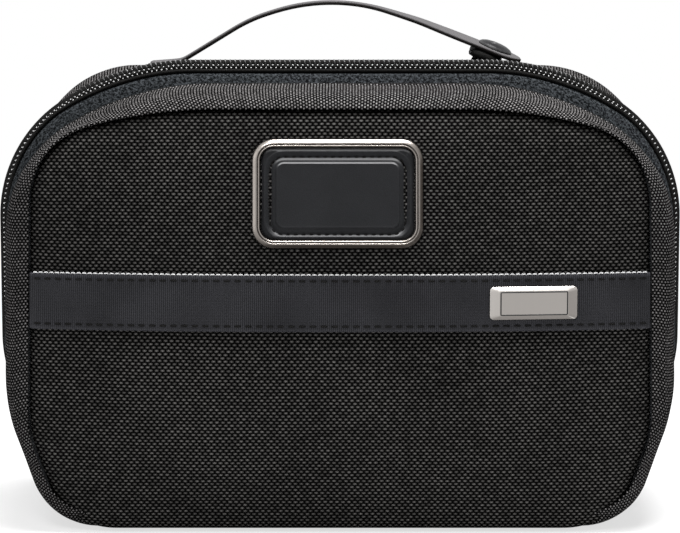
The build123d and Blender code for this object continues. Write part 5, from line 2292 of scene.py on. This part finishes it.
@dataclass
class Studio:
    """Pale floor, soft lamps and the camera.

    The floor glows a little, and fades to white over the distances of fade. It fades out before
    the bag over those of edge. Where less than the whole of open_sky lies clear below it,
    something hangs there and the floor is clear.
    """

    floor_colour: Colour = (0.93, 0.93, 0.93)
    glow: float = 0.68
    fade: tuple[float, float] = (0.22, 0.6)
    edge: tuple[float, float] = (0.0465, 0.052)
    open_sky: tuple[float, float] = (0.995, 0.945)
    world_strength: float = 0.26
    camera_place: Place = (0.0, -0.8931, 0.2029)
    camera_pitch: float = 7.08
    lens: float = 125.9

    def build(self) -> bpy.types.Object:
        """Makes the studio and returns the camera."""
        self.build_world()
        self.build_floor()
        for lamp in LAMPS:
            lamp.build()
        data = bpy.data.cameras.new("camera")
        data.lens = self.lens
        data.sensor_width = 36.0
        camera = bpy.data.objects.new("camera", data)
        bpy.context.scene.collection.objects.link(camera)
        camera.location = self.camera_place
        camera.rotation_euler = (math.radians(90 - self.camera_pitch), 0.0, 0.0)
        bpy.context.scene.camera = camera
        bpy.context.scene.view_settings.view_transform = "Standard"
        return camera

    @staticmethod
    def seen(graph: Graph) -> Socket:
        """Returns 1 for rays that show the background: camera, glossy and transmission rays."""
        path = graph.add("ShaderNodeLightPath")
        pair = graph.math("MAXIMUM", path.outputs["Is Camera Ray"], path.outputs["Is Glossy Ray"])
        return graph.math("MAXIMUM", pair, path.outputs["Is Transmission Ray"])

    def build_world(self) -> None:
        """Makes a white world that lights the bag softly."""
        world = bpy.data.worlds.new("studio")
        world.use_nodes = True
        world.node_tree.nodes.clear()
        graph = Graph(world.node_tree)
        soft = graph.add("ShaderNodeBackground", {"Color": WHITE, "Strength": self.world_strength})
        white = graph.add("ShaderNodeBackground", {"Color": WHITE, "Strength": 1.0})
        mix = graph.add("ShaderNodeMixShader", {0: self.seen(graph), 1: soft.outputs[0], 2: white.outputs[0]})
        out = graph.add("ShaderNodeOutputWorld")
        graph.put(out.inputs["Surface"], mix.outputs[0])
        bpy.context.scene.world = world

    def build_floor(self) -> bpy.types.Object:
        """Makes the floor and returns it.

        It ends like a table before the bag, and it is clear as glass over whatever hangs close
        below it, so that the front half shows when it hangs down open.
        """
        rows = []
        for y in np.linspace(-1500, 700, 9):
            rows.append([(x, y, -0.05) for x in np.linspace(-2500, 2500, 9)])
        floor = grid("floor", np.array(rows))
        material = bpy.data.materials.new("pale floor")
        material.use_nodes = True
        material.node_tree.nodes.clear()
        graph = Graph(material.node_tree)
        place = graph.add("ShaderNodeTexCoord").outputs["Object"]
        shade = graph.noise(place, 6.0)
        colour = graph.blend(shade, self.floor_colour, brighter(self.floor_colour, 0.985))
        matt = graph.add("ShaderNodeBsdfPrincipled", {"Base Color": colour, "Roughness": 0.9})
        glow = graph.add("ShaderNodeEmission", {"Color": WHITE, "Strength": 1.0})
        away = graph.add("ShaderNodeVectorMath", {0: place}, operation="LENGTH").outputs["Value"]
        share = graph.times(self.seen(graph), graph.ranged(away, *self.fade, self.glow, 1.0))
        mix = graph.add("ShaderNodeMixShader", {0: share, 1: matt.outputs[0], 2: glow.outputs[0]})
        below = graph.add("ShaderNodeAmbientOcclusion", {"Distance": 0.25}, samples=16, inside=True)
        glass = graph.ranged(below.outputs["AO"], *self.open_sky)
        edge = graph.ranged(graph.split(place)[1], -self.edge[0], -self.edge[1])
        gone = graph.times(self.seen(graph), graph.math("MAXIMUM", glass, edge))
        shadow = graph.add("ShaderNodeLightPath").outputs["Is Shadow Ray"]
        clear = graph.add("ShaderNodeBsdfTransparent")
        hide = graph.math("MAXIMUM", gone, shadow)
        mix = graph.add("ShaderNodeMixShader", {0: hide, 1: mix.outputs[0], 2: clear.outputs[0]})
        out = graph.add("ShaderNodeOutputMaterial")
        graph.put(out.inputs["Surface"], mix.outputs[0])
        floor.data.materials.append(material)
        return floor


def main() -> None:
    """Builds the bag's parts in order, then the studio."""
    logging.basicConfig(level=logging.INFO, format="%(message)s")
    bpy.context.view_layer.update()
    wardrobe = Wardrobe()
    cushions = {}
    for half in (FRONT, BACK):
        cushions[half.name] = Cushion(half, wardrobe)
        lining = Lining(half, wardrobe, *LINING_CUTS[half.name])
        parts = (Gusset(half, wardrobe), cushions[half.name], lining, ZipSide(half, wardrobe))
        for part in parts:
            LOG.info("%s %s built as %s", half.name, type(part).__name__, part.build().name)
    front = cushions["front"]
    for part in (
        Band(front, wardrobe), Patch(front, wardrobe), BarePlate(front, wardrobe), Handle(wardrobe),
        Seat(wardrobe), NetPocket(wardrobe), Trim(wardrobe), Studio(),
    ):
        LOG.info("%s built as %s", type(part).__name__, part.build().name)


if __name__ == "__main__":
    main()
